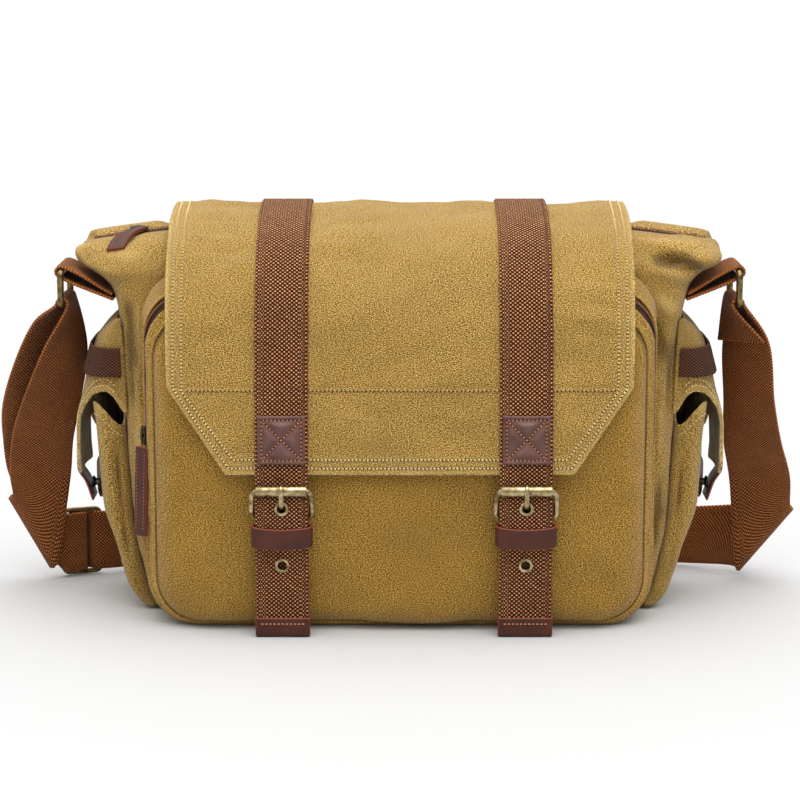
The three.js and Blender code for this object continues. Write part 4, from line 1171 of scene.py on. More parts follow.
class FlapCloth:
    """The flap as a grid, with ways to find a point on it from its flat pattern."""

    def __init__(self):
        rows, columns = 170, 130
        lengths = np.linspace(0, FLAP_LENGTHS[-1], rows)
        lengths = np.sort(np.append(lengths, FLAP_LENGTHS[CLIP_ROW]))
        self.lengths = lengths
        side = flap_side_at(lengths)
        half = flap_half_at(lengths)[:, None]
        x = half * np.linspace(-1, 1, columns)
        grid = grid_of(x, side[:, :1], side[:, 1:])
        to_edge = np.minimum(half - np.abs(x), (lengths[-1] - lengths)[:, None])
        ridge = np.exp(-(((lengths - FLAP_LENGTHS[RIDGE_ROW]) / 55) ** 2))[:, None]
        waves = 1.3 * swell(grid, 60, 31) + 0.35 * swell(grid, 20, 32)
        waves = waves + np.sin(x / 13 + 2.2 * np.sin(x / 41)) * 0.28 * ridge
        hem = 0.45 * (1 - ramp(to_edge, FLAP_HEM - 1.2, FLAP_HEM + 0.6))
        drop = (lengths - self.length_below(FLAP_SEAM_Z))[:, None]
        step = -0.4 * np.exp(-(drop**2)) + 0.35 * ramp(drop, -0.5, 1.5)
        front = lengths > FLAP_LENGTHS[RIDGE_ROW]
        creases = []
        for ends, width, height in FLAP_CREASES:
            ends = [[across, np.interp(-z, -side[front, 1], side[front, 0]), z] for across, z in ends]
            creases.append((*ends, width, height))
        ditches = sum(-0.3 * np.exp(-(((to_edge - inset) / 0.9) ** 2)) for inset in EDGE_INSETS)
        creased = ramp(to_edge, 2, 14) * fold_field(grid, creases)
        moved = ramp(to_edge, 0, 25) * waves + creased + hem + step + ditches
        for centre in STRAP_CENTRES.values():
            from_strap = np.abs(x - centre) - CLOSING_STRAP_WIDTH / 2
            moved = moved + (1 - ramp(from_strap, 1, 10)) * (np.minimum(moved, 0.2) - moved)
        self.grid = grid + grid_normals(grid) * moved[..., None]
        self.normals = grid_normals(self.grid)
        self.uvs = grid_of(x, lengths[:, None])
        self.hem = (1 - ramp(to_edge, 0.5, 2.5)) * 0.6 + 0.12 * (1 - ramp(to_edge, 10, 12))
        # Painted shade in the stitching ditches and under the seam's step.
        self.shade = ramp(-ditches, 0.15, 0.5) * 0.8 + ramp(-step, 0.2, 0.5) * 0.35

    def length_below(self, z):
        return np.interp(-z, -FLAP_SIDE[RIDGE_ROW + 1:, 1], FLAP_LENGTHS[RIDGE_ROW + 1:])

    def at(self, across, length, lift):
        """Points and normals on the flap, from distances across it and along it."""
        across, length = np.broadcast_arrays(across, length)
        rows, columns = self.grid.shape[:2]
        i = np.interp(length, self.lengths, np.arange(rows))
        j = (np.clip(across / flap_half_at(length), -1, 1) + 1) / 2 * (columns - 1)
        normals = unit(on_grid(self.normals, i, j))
        return on_grid(self.grid, i, j) + lift * normals, normals

    def edge_path(self, inset):
        """The path round the flap's edge at an inset, in the flat pattern."""
        corner, end = FLAP_LENGTHS[[CLIP_ROW, -1]]
        slope = (CLIP_TOP - CLIP_LOW) * FLAP_HALF_WIDTH / (end - corner)
        lean = math.hypot(1, slope)
        turn = corner + inset * (lean - 1) / slope
        low_half = CLIP_LOW * FLAP_HALF_WIDTH + slope * inset - inset * lean
        right = np.array([
            [FLAP_HALF_WIDTH - inset, 14], [CLIP_TOP * FLAP_HALF_WIDTH - inset, turn],
            [low_half, end - inset],
        ])
        outline = np.vstack([right * [-1, 1], right[::-1]])
        return evenly(outline, int(lengths_along(outline)[-1] / 1.2))


FLAP = FlapCloth()


def make_flap():
    names = ("flap_canvas", CANVAS, "main_flap", "canvas")
    cloth_marks = {"hem": FLAP.hem, "shade": FLAP.shade}
    flap = make_piece(*names, lay_sheet, FLAP.grid, FLAP_THICKNESS, FLAP.uvs, **cloth_marks)
    rows = [FLAP.at(*FLAP.edge_path(inset).T, 0.12) for inset in EDGE_INSETS]
    sewn = [thread_piece("flap_edge_stitches", rows, CREAM_THREAD, width=0.6, length=1.55)]
    # Dark dots between the stitches: painted shade in the needle holes.
    hole_shade_sizes = {"width": 0.5, "length": 1.0, "sink": 0.25, "phase": 1.0}
    sewn.append(thread_piece("flap_edge_holes", rows, NEEDLE_HOLE_SHADE, **hole_shade_sizes))
    across = np.arange(-FLAP_HALF_WIDTH + 12, FLAP_HALF_WIDTH - 12, 1.2)
    rows = [FLAP.at(across, FLAP.length_below(FLAP_SEAM_Z) + 2.2, 0.2)]
    sizes = {"width": 0.65, "pitch": 2.6, "length": 1.8}
    sewn.append(thread_piece("flap_seam_stitches", rows, TAN_THREAD, **sizes))
    hole_shade_sizes = {"width": 0.5, "pitch": 2.6, "length": 1.3, "sink": 0.15, "phase": 1.0}
    sewn.append(thread_piece("flap_seam_holes", rows, NEEDLE_HOLE_SHADE, **hole_shade_sizes))


make_flap()


# Closing straps

HEEL_Y = -(STRAP_OVER_HEEL - WEBBING - GAP - WEBBING - GAP - BUCKLE_WIRE)
ROLLER_Y = -(STRAP_BEHIND_ROLLER + GAP + ROLLER_RADIUS)
PANEL_Y = pocket_y(1)
KEEPER_TOP = HEEL_Z - BUCKLE_WIRE - GAP - PRONG_THICKNESS - GAP
WRAP_RADIUS = BUCKLE_WIRE + GAP + WEBBING / 2
STRAP_HANG = np.array([
    # forward share from behind the roller to over the heel bar, share of the buckle, share of heel height
    [0, 1.28, 1],
    [0, 1, 1],
    [0.05, 0.93, 1],
    [0.55, 0.82, 1],
    [1, 0.72, 1],
    [1, 0.25, 1],
    [1, 0, 1],
    [0.95, 0, 0.9],
    [0.6, 0, 0.8],
    [0.12, 0, 0.72],
    [-0.1, 0, 0.54],
    [-0.15, 0, 0.4],
    [-0.25, 0, 0.16],
])
TIP_INSIDE = TIP_CLEARANCE + LEATHER + GAP + WEBBING / 2
STRAP_END_Y = -(STRAP_BEHIND_ROLLER - 0.25 * (STRAP_OVER_HEEL - STRAP_BEHIND_ROLLER))


def strap_face():
    """The outer face of a closing strap seen from the side, from the back seam to its tip."""
    side = flap_side_at(np.linspace(0, FLAP_LENGTHS[-1], 60))
    tangent = unit(np.gradient(side, axis=0))
    over = side + (GAP + WEBBING + 0.3) * grid_of(tangent[:, 1], -tangent[:, 0])
    y = -(STRAP_BEHIND_ROLLER + STRAP_HANG[:, 0] * (STRAP_OVER_HEEL - STRAP_BEHIND_ROLLER))
    z = STRAP_HANG[:, 1] * (ROLLER_Z - HEEL_Z) + STRAP_HANG[:, 2] * HEEL_Z
    return np.vstack([over, grid_of(y, z), [STRAP_END_Y, TIP_INSIDE]])


STRAP_FACE = even_path(strap_face(), 2.0)


def strap_at(z):
    """Where a strap's outer face lies at a height in front, and its direction down."""
    front = STRAP_FACE[(STRAP_FACE[:, 0] < 0) & (STRAP_FACE[:, 1] < 0.9 * FLAP_RIDGE)]
    y, lower = np.interp([-z, 1 - z], -front[:, 1], front[:, 0])
    return y, unit(np.array([0, lower - y, -1.0]))


def across_strip(path, left, right, columns):
    """A grid of even width along X that follows a path of y and z."""
    return grid_of(np.linspace(left, right, columns), path[:, :1], path[:, 1:])


def eyelet_frame(centre, z):
    """The middle of an eyelet's hole and the way it faces."""
    y, down = strap_at(z)
    forward = np.cross(down, [1, 0, 0])
    return np.array([centre, y, z]) - forward * WEBBING / 2, forward


def cut_holes(piece, places, radius):
    for middle, forward in places:
        cut = Cut()
        lay_tube(cut, [middle - 6 * forward, middle, middle + 6 * forward], radius, [1, 0.01, 0], sides=24)
        punch = bpy.data.objects.new("punch", bpy.data.meshes.new("punch"))
        points = np.concatenate(cut.points) * MM
        faces = [list(map(int, face)) for group in cut.faces for face in group]
        punch.data.from_pydata(points.tolist(), [], faces)
        bpy.context.scene.collection.objects.link(punch)
        hole = piece.modifiers.new("hole", "BOOLEAN")
        hole.operation = "DIFFERENCE"
        hole.object = punch
        hole.solver = "EXACT"
        graph = bpy.context.evaluated_depsgraph_get()
        punched = bpy.data.meshes.new_from_object(piece.evaluated_get(graph))
        piece.modifiers.clear()
        piece.data = punched
        bpy.data.objects.remove(punch)


def make_closing_strap(side):
    centre = STRAP_CENTRES[side]
    half = CLOSING_STRAP_WIDTH / 2
    grid = across_strip(STRAP_FACE, centre - half, centre + half, 15)
    grid[..., 1] -= 0.12 * swell(grid, 9, 41)
    names = (f"closing_strap_webbing_{side}", STRAP_WEBBING, f"closing_strap_{side}", "webbing")
    strap = make_piece(*names, lay_sheet, grid, WEBBING)
    places = [eyelet_frame(centre, z) for z in EYELET_HEIGHTS]
    cut_holes(strap, places, EYELET_BORE + 0.5)
    deep = WEBBING / 2 + GAP + 0.7
    profile = [
        (EYELET_BORE, -deep), (EYELET_FLANGE, -deep), (EYELET_FLANGE, -deep + 0.7),
        (EYELET_BORE + 0.6, -deep + 0.7), (EYELET_BORE + 0.6, deep - 0.4),
        (EYELET_FLANGE, deep - 0.4), (EYELET_FLANGE, deep + 0.2), (EYELET_BORE, deep + 0.3),
    ]
    for number, place in enumerate(places, 1):
        names = (f"eyelet_ring_{side}_{number}", BRASS, f"eyelet_{side}_{number}", "antique_brass")
        make_piece(*names, lay_turned, profile, 0.5, *place, 40)


def patch_relief(x, z):
    """Height of the patch's leather: a raised border, and four puffed fields between the seams."""
    to_edge = PATCH_SIDE / 2 - np.maximum(np.abs(x), np.abs(z))
    cross = np.abs(np.abs(x) - np.abs(z)) / math.sqrt(2)
    puff = ramp(cross, 0.3, 4.5) * ramp(to_edge, 2.9, 6.5)
    groove = np.exp(-(((to_edge - 2.5) / 0.55) ** 2)) * 0.5
    seams = 0.5 * np.exp(-((cross / 0.6) ** 2)) * ramp(to_edge, 2.4, 2.8)
    return 1.7 * puff - groove - seams + 0.4 * ramp(to_edge, 1.9, 1.3) * ramp(to_edge, 0.0, 0.6)


def make_patch(side):
    centre = STRAP_CENTRES[side]
    half = PATCH_SIDE / 2
    steps = np.linspace(-half, half, 70)
    heights = PATCH_CENTRE_Z - steps
    face = grid_of(np.array([strap_at(z)[0] for z in heights]), heights)
    grid = turned_to(across_strip(face, centre - half, centre + half, 70), np.array([0, -1, 0]))
    normals = grid_normals(grid)
    relief = patch_relief(*np.meshgrid(steps, steps))
    grid = grid + normals * (LEATHER + GAP * 0.5 + relief)[..., None]
    names = (f"patch_leather_{side}", LIT_PATCH_HIDE, f"strap_patch_{side}", "leather")
    make_piece(*names, lay_sheet, grid, LEATHER + relief * 0.6)

    def over(start, end, low, high, count):
        """A row of stitches over the leather, between shares of the way from a corner to another."""
        way = start + np.linspace(low, high, count)[:, None] * (end - start)
        j, i = (way * [1, -1] + half).T / PATCH_SIDE * (len(steps) - 1)
        outward = np.broadcast_to(normals[len(steps) // 2, len(steps) // 2], (count, 3))
        return on_grid(grid, i, j) + 0.12 * outward, outward

    inset = half - 2.5
    corners = inset * np.array([[-1, -1], [1, -1], [1, 1], [-1, 1], [-1, -1]])
    rows = [over(start, end, 0, 1, 30) for start, end in zip(corners[:-1], corners[1:])]
    rows += [over(start, -start, 0.04, 0.96, 50) for start in corners[:2]]
    sizes = {"pitch": 2.35, "length": 1.35, "width": 0.5}
    thread_piece(f"patch_stitches_{side}", rows, ORANGE_THREAD, "leather", **sizes)
    # Dark dots between the stitches: painted shade in the needle holes.
    hole_shade_sizes = {"pitch": 2.35, "length": 1.1, "width": 0.5, "sink": 0.2, "phase": 1.0}
    thread_piece(f"patch_hole_shade_{side}", rows, NEEDLE_HOLE_SHADE, "leather", **hole_shade_sizes)


def make_buckle(side):
    centre = STRAP_CENTRES[side]
    up = np.array([0, ROLLER_Y - HEEL_Y, ROLLER_Z - HEEL_Z])
    height = np.linalg.norm(up)
    up = up / height
    half = BUCKLE_WIDTH / 2 - BUCKLE_WIRE
    outline = box_outline(-half, half, 0, height, 4.4, 18, 9, corner=10)
    path = np.array([centre, HEEL_Y, HEEL_Z]) + outline[:, :1] * [1, 0, 0] + outline[:, 1:] * up
    names = (f"buckle_bow_{side}", BRASS, f"buckle_frame_{side}", "antique_brass")
    facing = np.cross([1, 0, 0], up)
    make_piece(*names, lay_tube, path, BUCKLE_WIRE, facing, closed=True, sides=16, flatten=0.9)
    half = ROLLER_LENGTH / 2
    bore = BUCKLE_WIRE + GAP
    profile = [(bore, -half), (ROLLER_RADIUS, -half), (ROLLER_RADIUS, half), (bore, half)]
    names = (f"roller_tube_{side}", BRASS, f"buckle_roller_{side}", "antique_brass")
    make_piece(*names, lay_turned, profile, 0.5, (centre, ROLLER_Y, ROLLER_Z), (1, 0, 0), 40)
    # The prong, from its hook round the heel bar through the strap's hole to its rest on the roller
    hook = bore + PRONG_THICKNESS / 2
    rest = ROLLER_RADIUS + GAP + PRONG_THICKNESS / 2
    hole = np.array([WEBBING / 2 - STRAP_OVER_HEEL, EYELET_HEIGHTS[0]])
    through_hole = np.array([[1.95, -2.2], [1.6, -1], [0.8, -0.35], [-0.8, 0.25], [-2.2, 1.8]])
    path = even_path(np.vstack([
        arc((HEEL_Y, HEEL_Z), hook, 60, -195, 9),
        hole + through_hole * WEBBING,
        arc((ROLLER_Y, ROLLER_Z), rest, 215, 125, 3),
    ]), 0.8)
    points = grid_of(centre, *path.T)
    taper = 1 - 0.25 * ramp(np.arange(len(path)), len(path) - 6, len(path))
    facing = unit(np.cross([1, 0, 0], np.gradient(points, axis=0)))
    names = (f"prong_{side}", BRASS, f"buckle_prong_{side}", "antique_brass")
    make_piece(*names, lay_tube, points, PRONG_WIDTH / 2 * taper, facing, flatten=0.56)


def make_chape(side):
    centre = STRAP_CENTRES[side]
    half = CLOSING_STRAP_WIDTH / 2 - 2 * GAP - BUCKLE_WIRE / 4
    rear = PANEL_Y - GAP - WEBBING / 2
    drop = HEEL_Z - CHAPE_LOW
    path = even_path(np.vstack([
        [rear, CHAPE_LOW],
        [rear, HEEL_Z - 0.45 * drop],
        [rear + 0.6 * (HEEL_Y + WRAP_RADIUS - rear), HEEL_Z - 0.2 * drop],
        arc((HEEL_Y, HEEL_Z), WRAP_RADIUS, 0, 180, 6),
        [HEEL_Y - 0.84 * WRAP_RADIUS, HEEL_Z - 0.2 * drop],
        [HEEL_Y - 0.32 * WRAP_RADIUS, HEEL_Z - 0.42 * drop],
        [rear - WEBBING - 4 * GAP, HEEL_Z - 0.75 * drop],
        [rear - WEBBING - GAP, HEEL_Z - 0.94 * drop],
    ]), 1.5)
    names = (f"chape_webbing_{side}", STRAP_WEBBING, f"buckle_chape_{side}", "webbing")
    make_piece(*names, lay_centred, across_strip(path, centre - half, centre + half, 13), WEBBING)


def make_keeper(side):
    centre = STRAP_CENTRES[side]
    half = KEEPER_WIDTH / 2
    rear = HEEL_Y + BUCKLE_WIRE
    front = -(STRAP_OVER_HEEL + GAP + LEATHER)
    x, y = joined(box_outline(centre - half, centre + half, front, rear, 4.2, 24, 4)[::-1].T)
    sag = 2.0 * (1 - ((x - centre) / half) ** 2) * (y < (front + rear) / 2)
    z = KEEPER_TOP - KEEPER_HEIGHT + np.linspace(0, KEEPER_HEIGHT, 9)[:, None]
    names = (f"keeper_leather_{side}", HIDE, f"strap_keeper_{side}", "leather")
    make_piece(*names, lay_sheet, grid_of(x, y, z - sag), LEATHER)


def make_tip(side):
    centre = STRAP_CENTRES[side]
    half = CLOSING_STRAP_WIDTH / 2 + 2.5 * GAP
    fold = WEBBING / 2 + GAP + LEATHER / 2
    middle = STRAP_END_Y + WEBBING / 2
    top = TIP_CLEARANCE + TIP_HEIGHT
    path = even_path(np.vstack([
        [middle - fold, top],
        arc((middle, TIP_CLEARANCE + LEATHER / 2 + fold), fold, 180, 360, 8),
        [middle + fold, top],
    ]), 0.9)
    grid = across_strip(path, centre - half, centre + half, 30)
    names = (f"tip_leather_{side}", HIDE, f"strap_tip_{side}", "leather")
    make_piece(*names, lay_centred, grid, LEATHER, outward=np.array([0, 0, -1]))
    x = np.linspace(centre - half + 2.5, centre + half - 2.5, 60)
    row = grid_of(x, middle - fold - LEATHER / 2 - 0.05, top - 3.2)
    outward = np.broadcast_to([0, -1, 0], row.shape)
    thread_piece(f"tip_stitches_{side}", [(row, outward)], ORANGE_THREAD, "leather")


for side in ("left", "right"):
    make_closing_strap(side)
    make_patch(side)
    make_buckle(side)
    make_chape(side)
    make_keeper(side)
    make_tip(side)


# Side pockets and their flaps

SIDE_ROWS = np.array([
    # height share of the mouth, reach share
    [0, 0.83],
    [0.03, 0.868],
    [0.1, 0.9],
    [0.2, 0.928],
    [0.35, 0.958],
    [0.5, 0.984],
    [0.76, 1],
    [1, 1.02],
])
SIDE_CENTRE_Y = (SIDE_BACK - SIDE_FRONT) / 2
SIDE_HALF = (SIDE_BACK + SIDE_FRONT) / 2
MOUTH_DIP = 7
SIDE_CORNER = 7
SIDE_CREASES = (
    ((190, -22, 120), (190, -20, 70), 3.6, 1.8),
    ((185, -22, 108), (178, -22, 34), 3.4, -2.2),
    ((196, -10, 112), (195, -16, 60), 5.0, 2.0),
    ((190, 10, 66), (182, -16, 26), 5.0, 2.0),
    ((195, 26, 90), (190, 0, 62), 4.0, -1.6),
    ((188, 40, 60), (184, 16, 34), 5.0, 1.6),
)
MIRROR = {"left": np.array([-1, 1, 1]), "right": np.array([1, 1, 1])}


def make_side_pocket(side):
    heights = np.concatenate([[SIDE_BOTTOM], np.linspace(SIDE_BOTTOM + 1, SIDE_MOUTH - 1, 60), [SIDE_MOUTH]])
    skin = []
    for z in heights:
        reach = through(SIDE_ROWS[:, 0], SIDE_ROWS[:, 1], [z / SIDE_MOUTH])[0, 0] * SIDE_REACH
        near = body_reach(z) + GAP
        corner = min(SIDE_CORNER, 0.46 * (reach - near))
        x, y = box_outline(near, reach, -SIDE_FRONT, SIDE_BACK, corner, 10, 50, corner=10)[::-1].T
        near_end = ramp(np.abs(y - SIDE_CENTRE_Y), 0.6 * SIDE_HALF, SIDE_HALF)
        sloping = 2.2 - 2.4 * ramp(x, near, reach)
        dip = near_end * sloping * MOUTH_DIP * ramp(z, SIDE_MOUTH - 40, SIDE_MOUTH)
        skin.append(np.stack([x, y, z - dip], axis=1))
    skin = np.array(skin)
    base = skin[0]
    middle = base.mean(axis=0)
    skin = np.concatenate([[middle + share * (base - middle) for share in (0.05, 0.6)], skin])
    uvs = flat_uvs(joined(skin))
    normals = grid_normals(skin, wrapped=True)
    outer = ramp(skin[..., 0] - body_reach(skin[..., 2]), 2, 9)
    moved = outer * (fold_field(skin, SIDE_CREASES) + 0.6 * swell(skin * MIRROR[side], 34, 51))
    moved = moved * ramp(skin[..., 2], 3, 18) * (1 - ramp(skin[..., 2], SIDE_MOUTH - 20, SIDE_MOUTH))
    skin = skin + normals * moved[..., None]
    hem = ramp(skin[..., 2], SIDE_MOUTH - 10, SIDE_MOUTH - 1) * 0.5
    if side == "left":
        skin, uvs, hem, moved = skin[:, ::-1] * MIRROR[side], uvs[:, ::-1], hem[:, ::-1], moved[:, ::-1]
    cut = Cut()
    # Painted shade in the dents of the pocket's creases.
    sewn_cup(cut, skin, SIDE_WALL, uvs, hem=hem, shade=ramp(-moved, 0.3, 1.6))
    cut.make(f"side_pocket_canvas_{side}", LINED_CANVAS, f"side_pocket_{side}")
    normals = grid_normals(skin, wrapped=True)
    row = int(np.searchsorted(heights, SIDE_MOUTH - 8)) + 2
    outside = np.abs(skin[row, :, 0]) > body_reach(SIDE_MOUTH) + 2
    first = int(np.argmax(~outside & np.roll(outside, -1))) + 1
    path, out = (np.roll(values[row], -first, axis=0)[:outside.sum()] for values in (skin, normals))
    thread_piece(
        f"side_pocket_stitches_{side}", [(path + 0.1 * out, out)], CREAM_THREAD,
        width=0.42, pitch=2.6, length=1.7,
    )


SIDE_FLAP_ROWS = np.array([
    # drop share from the seam to the tip, reach share
    [0, 0.868],
    [0.05, 0.9],
    [0.13, 0.931],
    [0.28, 0.955],
    [0.42, 0.972],
    [0.69, 1],
    [0.85, 1],
    [1, 0.994],
])
HEM_ROWS = np.array([
    # share of the way to either edge, drop share of the hem
    [0, 1],
    [0.2, 1],
    [0.25, 0.95],
    [0.3, 0.77],
    [0.335, 0.655],
    [0.43, 0.57],
    [0.56, 0.51],
    [0.71, 0.46],
    [0.88, 0.445],
    [0.96, 0.48],
    [0.99, 0.54],
    [1, 0.58],
])
SIDE_FLAP_HALF = SIDE_HALF + 2 * GAP + SIDE_FLAP_THICKNESS
SIDE_FLAP_SEWN_IN = 0.8
REAR_HEM = 0.8


def side_hem(shares):
    """How far down the flap's hem lies: a high arch at the front, a low one at the back."""
    hem = through(HEM_ROWS[:, 0], HEM_ROWS[:, 1], np.abs(shares))[:, 0]
    return hem + np.maximum(REAR_HEM - hem, 0) * ramp(shares, 0.2, 0.5)


def side_flap_grid(drops, shares, hem_share=True):
    """The side flap's outer face. Drops run from its seam to its hem, shares from edge to edge."""
    drop = np.asarray(drops, float)[:, None]
    share = np.asarray(shares, float)[None]
    if hem_share:
        drop = drop * side_hem(share[0])[None]
    drop, share = np.broadcast_arrays(drop, share)
    z = SIDE_FLAP_TOP + drop * (SIDE_FLAP_LOW - SIDE_FLAP_TOP)
    flat = through(SIDE_FLAP_ROWS[:, 0], SIDE_FLAP_ROWS[:, 1], drop.ravel())[:, 0].reshape(drop.shape)
    reach = flat * SIDE_FLAP_REACH
    near = body_reach(z) - SIDE_FLAP_SEWN_IN
    angle = share * np.pi / 2
    x = near + (reach - near) * np.sqrt(np.abs(np.cos(angle)))
    y = SIDE_CENTRE_Y + np.sign(share) * SIDE_FLAP_HALF * np.sqrt(np.abs(np.sin(angle)))
    return np.stack([x, y, z], axis=-1)


def edge_shares(count, reach=1.0):
    """Shares from edge to edge, closer together where the flap turns sharply."""
    even = np.linspace(-1, 1, count)
    return even * (1.5 - 0.5 * even**2) * reach


def make_side_flap(side):
    shares = edge_shares(101)
    drops = np.linspace(0, 1, 60)
    grid = side_flap_grid(drops, shares)
    normals = grid_normals(grid)
    if normals[30, 50, 0] < 0:
        normals = -normals
    moved = 0.5 * swell(grid * MIRROR[side], 40, 61) * ramp(drops, 0.05, 0.3)[:, None]
    hem = ramp(drops, 0.9, 0.93)[:, None] * np.ones((1, len(shares)))
    grid = grid + normals * (moved + 0.3 * hem)[..., None]
    outward = MIRROR[side] * [1, 0, 0]
    grid = turned_to(grid * MIRROR[side], outward)
    names = (f"side_flap_canvas_{side}", LINED_CANVAS, f"side_flap_{side}", "canvas")
    flap = make_piece(*names, lay_sheet, grid, SIDE_FLAP_THICKNESS, hem=hem * 0.5)
    rows = []
    fine = edge_shares(400, 0.97)
    hems = side_hem(fine)
    for inset in (0.035, 0.075):
        drops = zip(hems - inset, fine)
        path = np.array([side_flap_grid([drop], [share], False)[0, 0] for drop, share in drops])
        around = (path - [0, SIDE_CENTRE_Y, 0]) * [1, 1, 0]
        around[:, 0] -= body_reach(path[:, 2])
        around = unit(around) * MIRROR[side]
        rows.append((path * MIRROR[side] + 0.8 * around, around))
    name = f"side_flap_stitches_{side}"
    stitches = thread_piece(name, rows, CREAM_THREAD, width=0.45, pitch=2.6, length=1.7)
    band = side_flap_grid(np.linspace(0.18, 0.35, 12), edge_shares(81, 0.995), hem_share=False)
    normals = grid_normals(band)
    if normals[5, 40, 0] < 0:
        normals = -normals
    band = turned_to((band + normals * (3 * GAP + WEBBING)) * MIRROR[side], outward)
    names = (f"side_band_webbing_{side}", BAND_WEBBING, f"side_flap_band_{side}", "webbing")
    webbing = make_piece(*names, lay_sheet, band, WEBBING)


def along_y_strip(path, front, back, columns):
    """A grid of even width along Y that follows a path of x and z."""
    return grid_of(path[:, :1], np.linspace(front, back, columns), path[:, 1:])


def make_side_tabs(side):
    front = SIDE_CENTRE_Y - SIDE_TAB_WIDTH / 2
    outward = np.array([1, 0, 0]) * MIRROR[side]
    outer, low = SIDE_FLAP_REACH + LEATHER / 2, SIDE_FLAP_LOW
    inward = SIDE_REACH - SIDE_FLAP_REACH
    path = np.array([
        [outer + GAP, low + 12],
        [outer, low],
        [SIDE_FLAP_REACH + 0.26 * inward, low + 0.45 * (SIDE_TAB_LOW - low)],
        [SIDE_FLAP_REACH + 0.5 * inward, SIDE_TAB_LOW],
    ])
    grid = along_y_strip(even_path(path, 1.0), front, front + SIDE_TAB_WIDTH, 16) * MIRROR[side]
    cut = Cut()
    lay_centred(cut, grid, LEATHER, outward)
    cut.make(f"flap_tab_leather_{side}", HIDE, f"side_flap_tab_{side}")
    reach = SIDE_REACH + GAP + LEATHER / 2
    path = np.array([[reach, SIDE_TAB_TOP], [reach, SIDE_TAB_LOW]])
    grid = along_y_strip(even_path(path, 0.75), front, front + SIDE_TAB_WIDTH, 16)
    from_end = np.clip((grid[..., 2] - SIDE_TAB_LOW) / TAB_ROUNDING, 0, 1)
    narrowing = 0.12 + 0.88 * np.sqrt(1 - (1 - from_end) ** 2)
    grid[..., 1] = SIDE_CENTRE_Y + (grid[..., 1] - SIDE_CENTRE_Y) * narrowing
    standing = (grid[..., 1] - front) / SIDE_TAB_WIDTH * ramp(SIDE_TAB_TOP - grid[..., 2], 0, 16)
    grid[..., 0] += TAB_STANDS_OFF * standing
    grid = grid * MIRROR[side]
    cut = Cut()
    lay_centred(cut, grid, LEATHER, outward)
    cut.make(f"pocket_tab_leather_{side}", HIDE, f"side_pocket_tab_{side}")
    near = np.array([SIDE_REACH + 2 * GAP + LEATHER, SIDE_CENTRE_Y, SNAP_Z]) * MIRROR[side]
    profile = [(0.05, 0), (4, 0), (4, 1.2), (2.4, 2), (2.4, 5.2), (4, 6), (4, 7.2), (0.05, 7.2)]
    names = (f"snap_{side}", DARK_METAL, f"side_snap_{side}", "antique_brass")
    make_piece(*names, lay_turned, profile, 0.4, near, outward, 28)


def make_ring(side):
    half = SHOULDER_WIDTH / 2 + 0.8 + RING_WIRE
    outline = box_outline(-half, half, RING_LOW_Z, RING_TOP_Z, 4, 20, 10, corner=10)
    path = grid_of(RING_REACH, *outline.T) * MIRROR[side]
    names = (f"ring_wire_{side}", BRONZE, f"strap_ring_{side}", "antique_brass")
    make_piece(*names, lay_tube, path, RING_WIRE, [1, 0, 0], closed=True, sides=16)
    wrap = RING_WIRE + GAP + WEBBING / 2
    lean = math.degrees(math.atan2(RING_TOP_Z - RING_TAB_ROOT_Z, RING_REACH - body_reach(RING_TAB_ROOT_Z)))
    low, high = RING_TAB_ROOT_Z - WEBBING, RING_TAB_ROOT_Z + WEBBING
    path = np.vstack([
        [body_reach(low) + 2 * GAP + WEBBING / 2, low],
        arc((RING_REACH, RING_TOP_Z), wrap, lean - 90, lean + 90, 8),
        [body_reach(high) + 2 * GAP + WEBBING / 2, high],
    ])
    grid = along_y_strip(even_path(path, 1.2), -SHOULDER_WIDTH / 2, SHOULDER_WIDTH / 2, 22) * MIRROR[side]
    names = (f"ring_tab_webbing_{side}", SHOULDER_WEBBING, f"ring_tab_{side}", "webbing")
    make_piece(*names, lay_centred, grid, WEBBING, np.array([1, 0, 0]) * MIRROR[side])


for side in ("left", "right"):
    make_side_pocket(side)
    make_side_flap(side)
    make_side_tabs(side)
    make_ring(side)


# Shoulder strap

# Each row holds both edges of the strap: outer x, y, z and inner x, y, z, as shares of the ring's reach,
# the body's back and the height of the ring's lower bar.
LEFT_BACK_LEG = np.array([
    [1.205, 0.894, 0.297, 1.083, 0.958, 0.051],
    [1.213, 0.872, 0.292, 1.091, 0.936, 0.047],
    [1.205, 0.85, 0.297, 1.083, 0.915, 0.051],
    [1.228, 0.823, 0.393, 1.048, 0.919, 0.383],
    [1.233, 0.742, 0.491, 1.053, 0.855, 0.486],
    [1.219, 0.452, 0.624, 1.05, 0.694, 0.619],
    [1.164, 0.161, 0.791, 1.027, 0.587, 0.786],
    [1.091, -0.081, 0.934, 0.991, 0.452, 0.929],
])
LEFT_FRONT_LEG = np.array([
    [1.064, -0.145, 0.845, 0.952, 0.306, 0.84],
    [1.142, 0.194, 0.668, 0.982, 0.5, 0.654],
    [1.196, 0.548, 0.516, 1.016, 0.645, 0.504],
    [1.215, 0.742, 0.369, 1.034, 0.806, 0.364],
    [1.213, 0.806, 0.292, 1.091, 0.871, 0.047],
    [1.228, 0.871, 0.284, 1.107, 0.935, 0.038],
    [1.213, 0.935, 0.292, 1.091, 1, 0.047],
])
RIGHT_LEG = np.array([
    [1.224, 0.935, 0.256, 1.068, 1.097, 0.029],
    [1.235, 0.871, 0.247, 1.079, 1.032, 0.021],
    [1.224, 0.806, 0.256, 1.068, 0.968, 0.029],
    [1.215, 0.726, 0.364, 1.034, 0.806, 0.354],
    [1.164, 0.306, 0.521, 1.005, 0.613, 0.501],
    [1.128, 0, 0.668, 0.995, 0.452, 0.649],
    [1.1, -0.129, 0.87, 0.986, 0.371, 0.855],
])
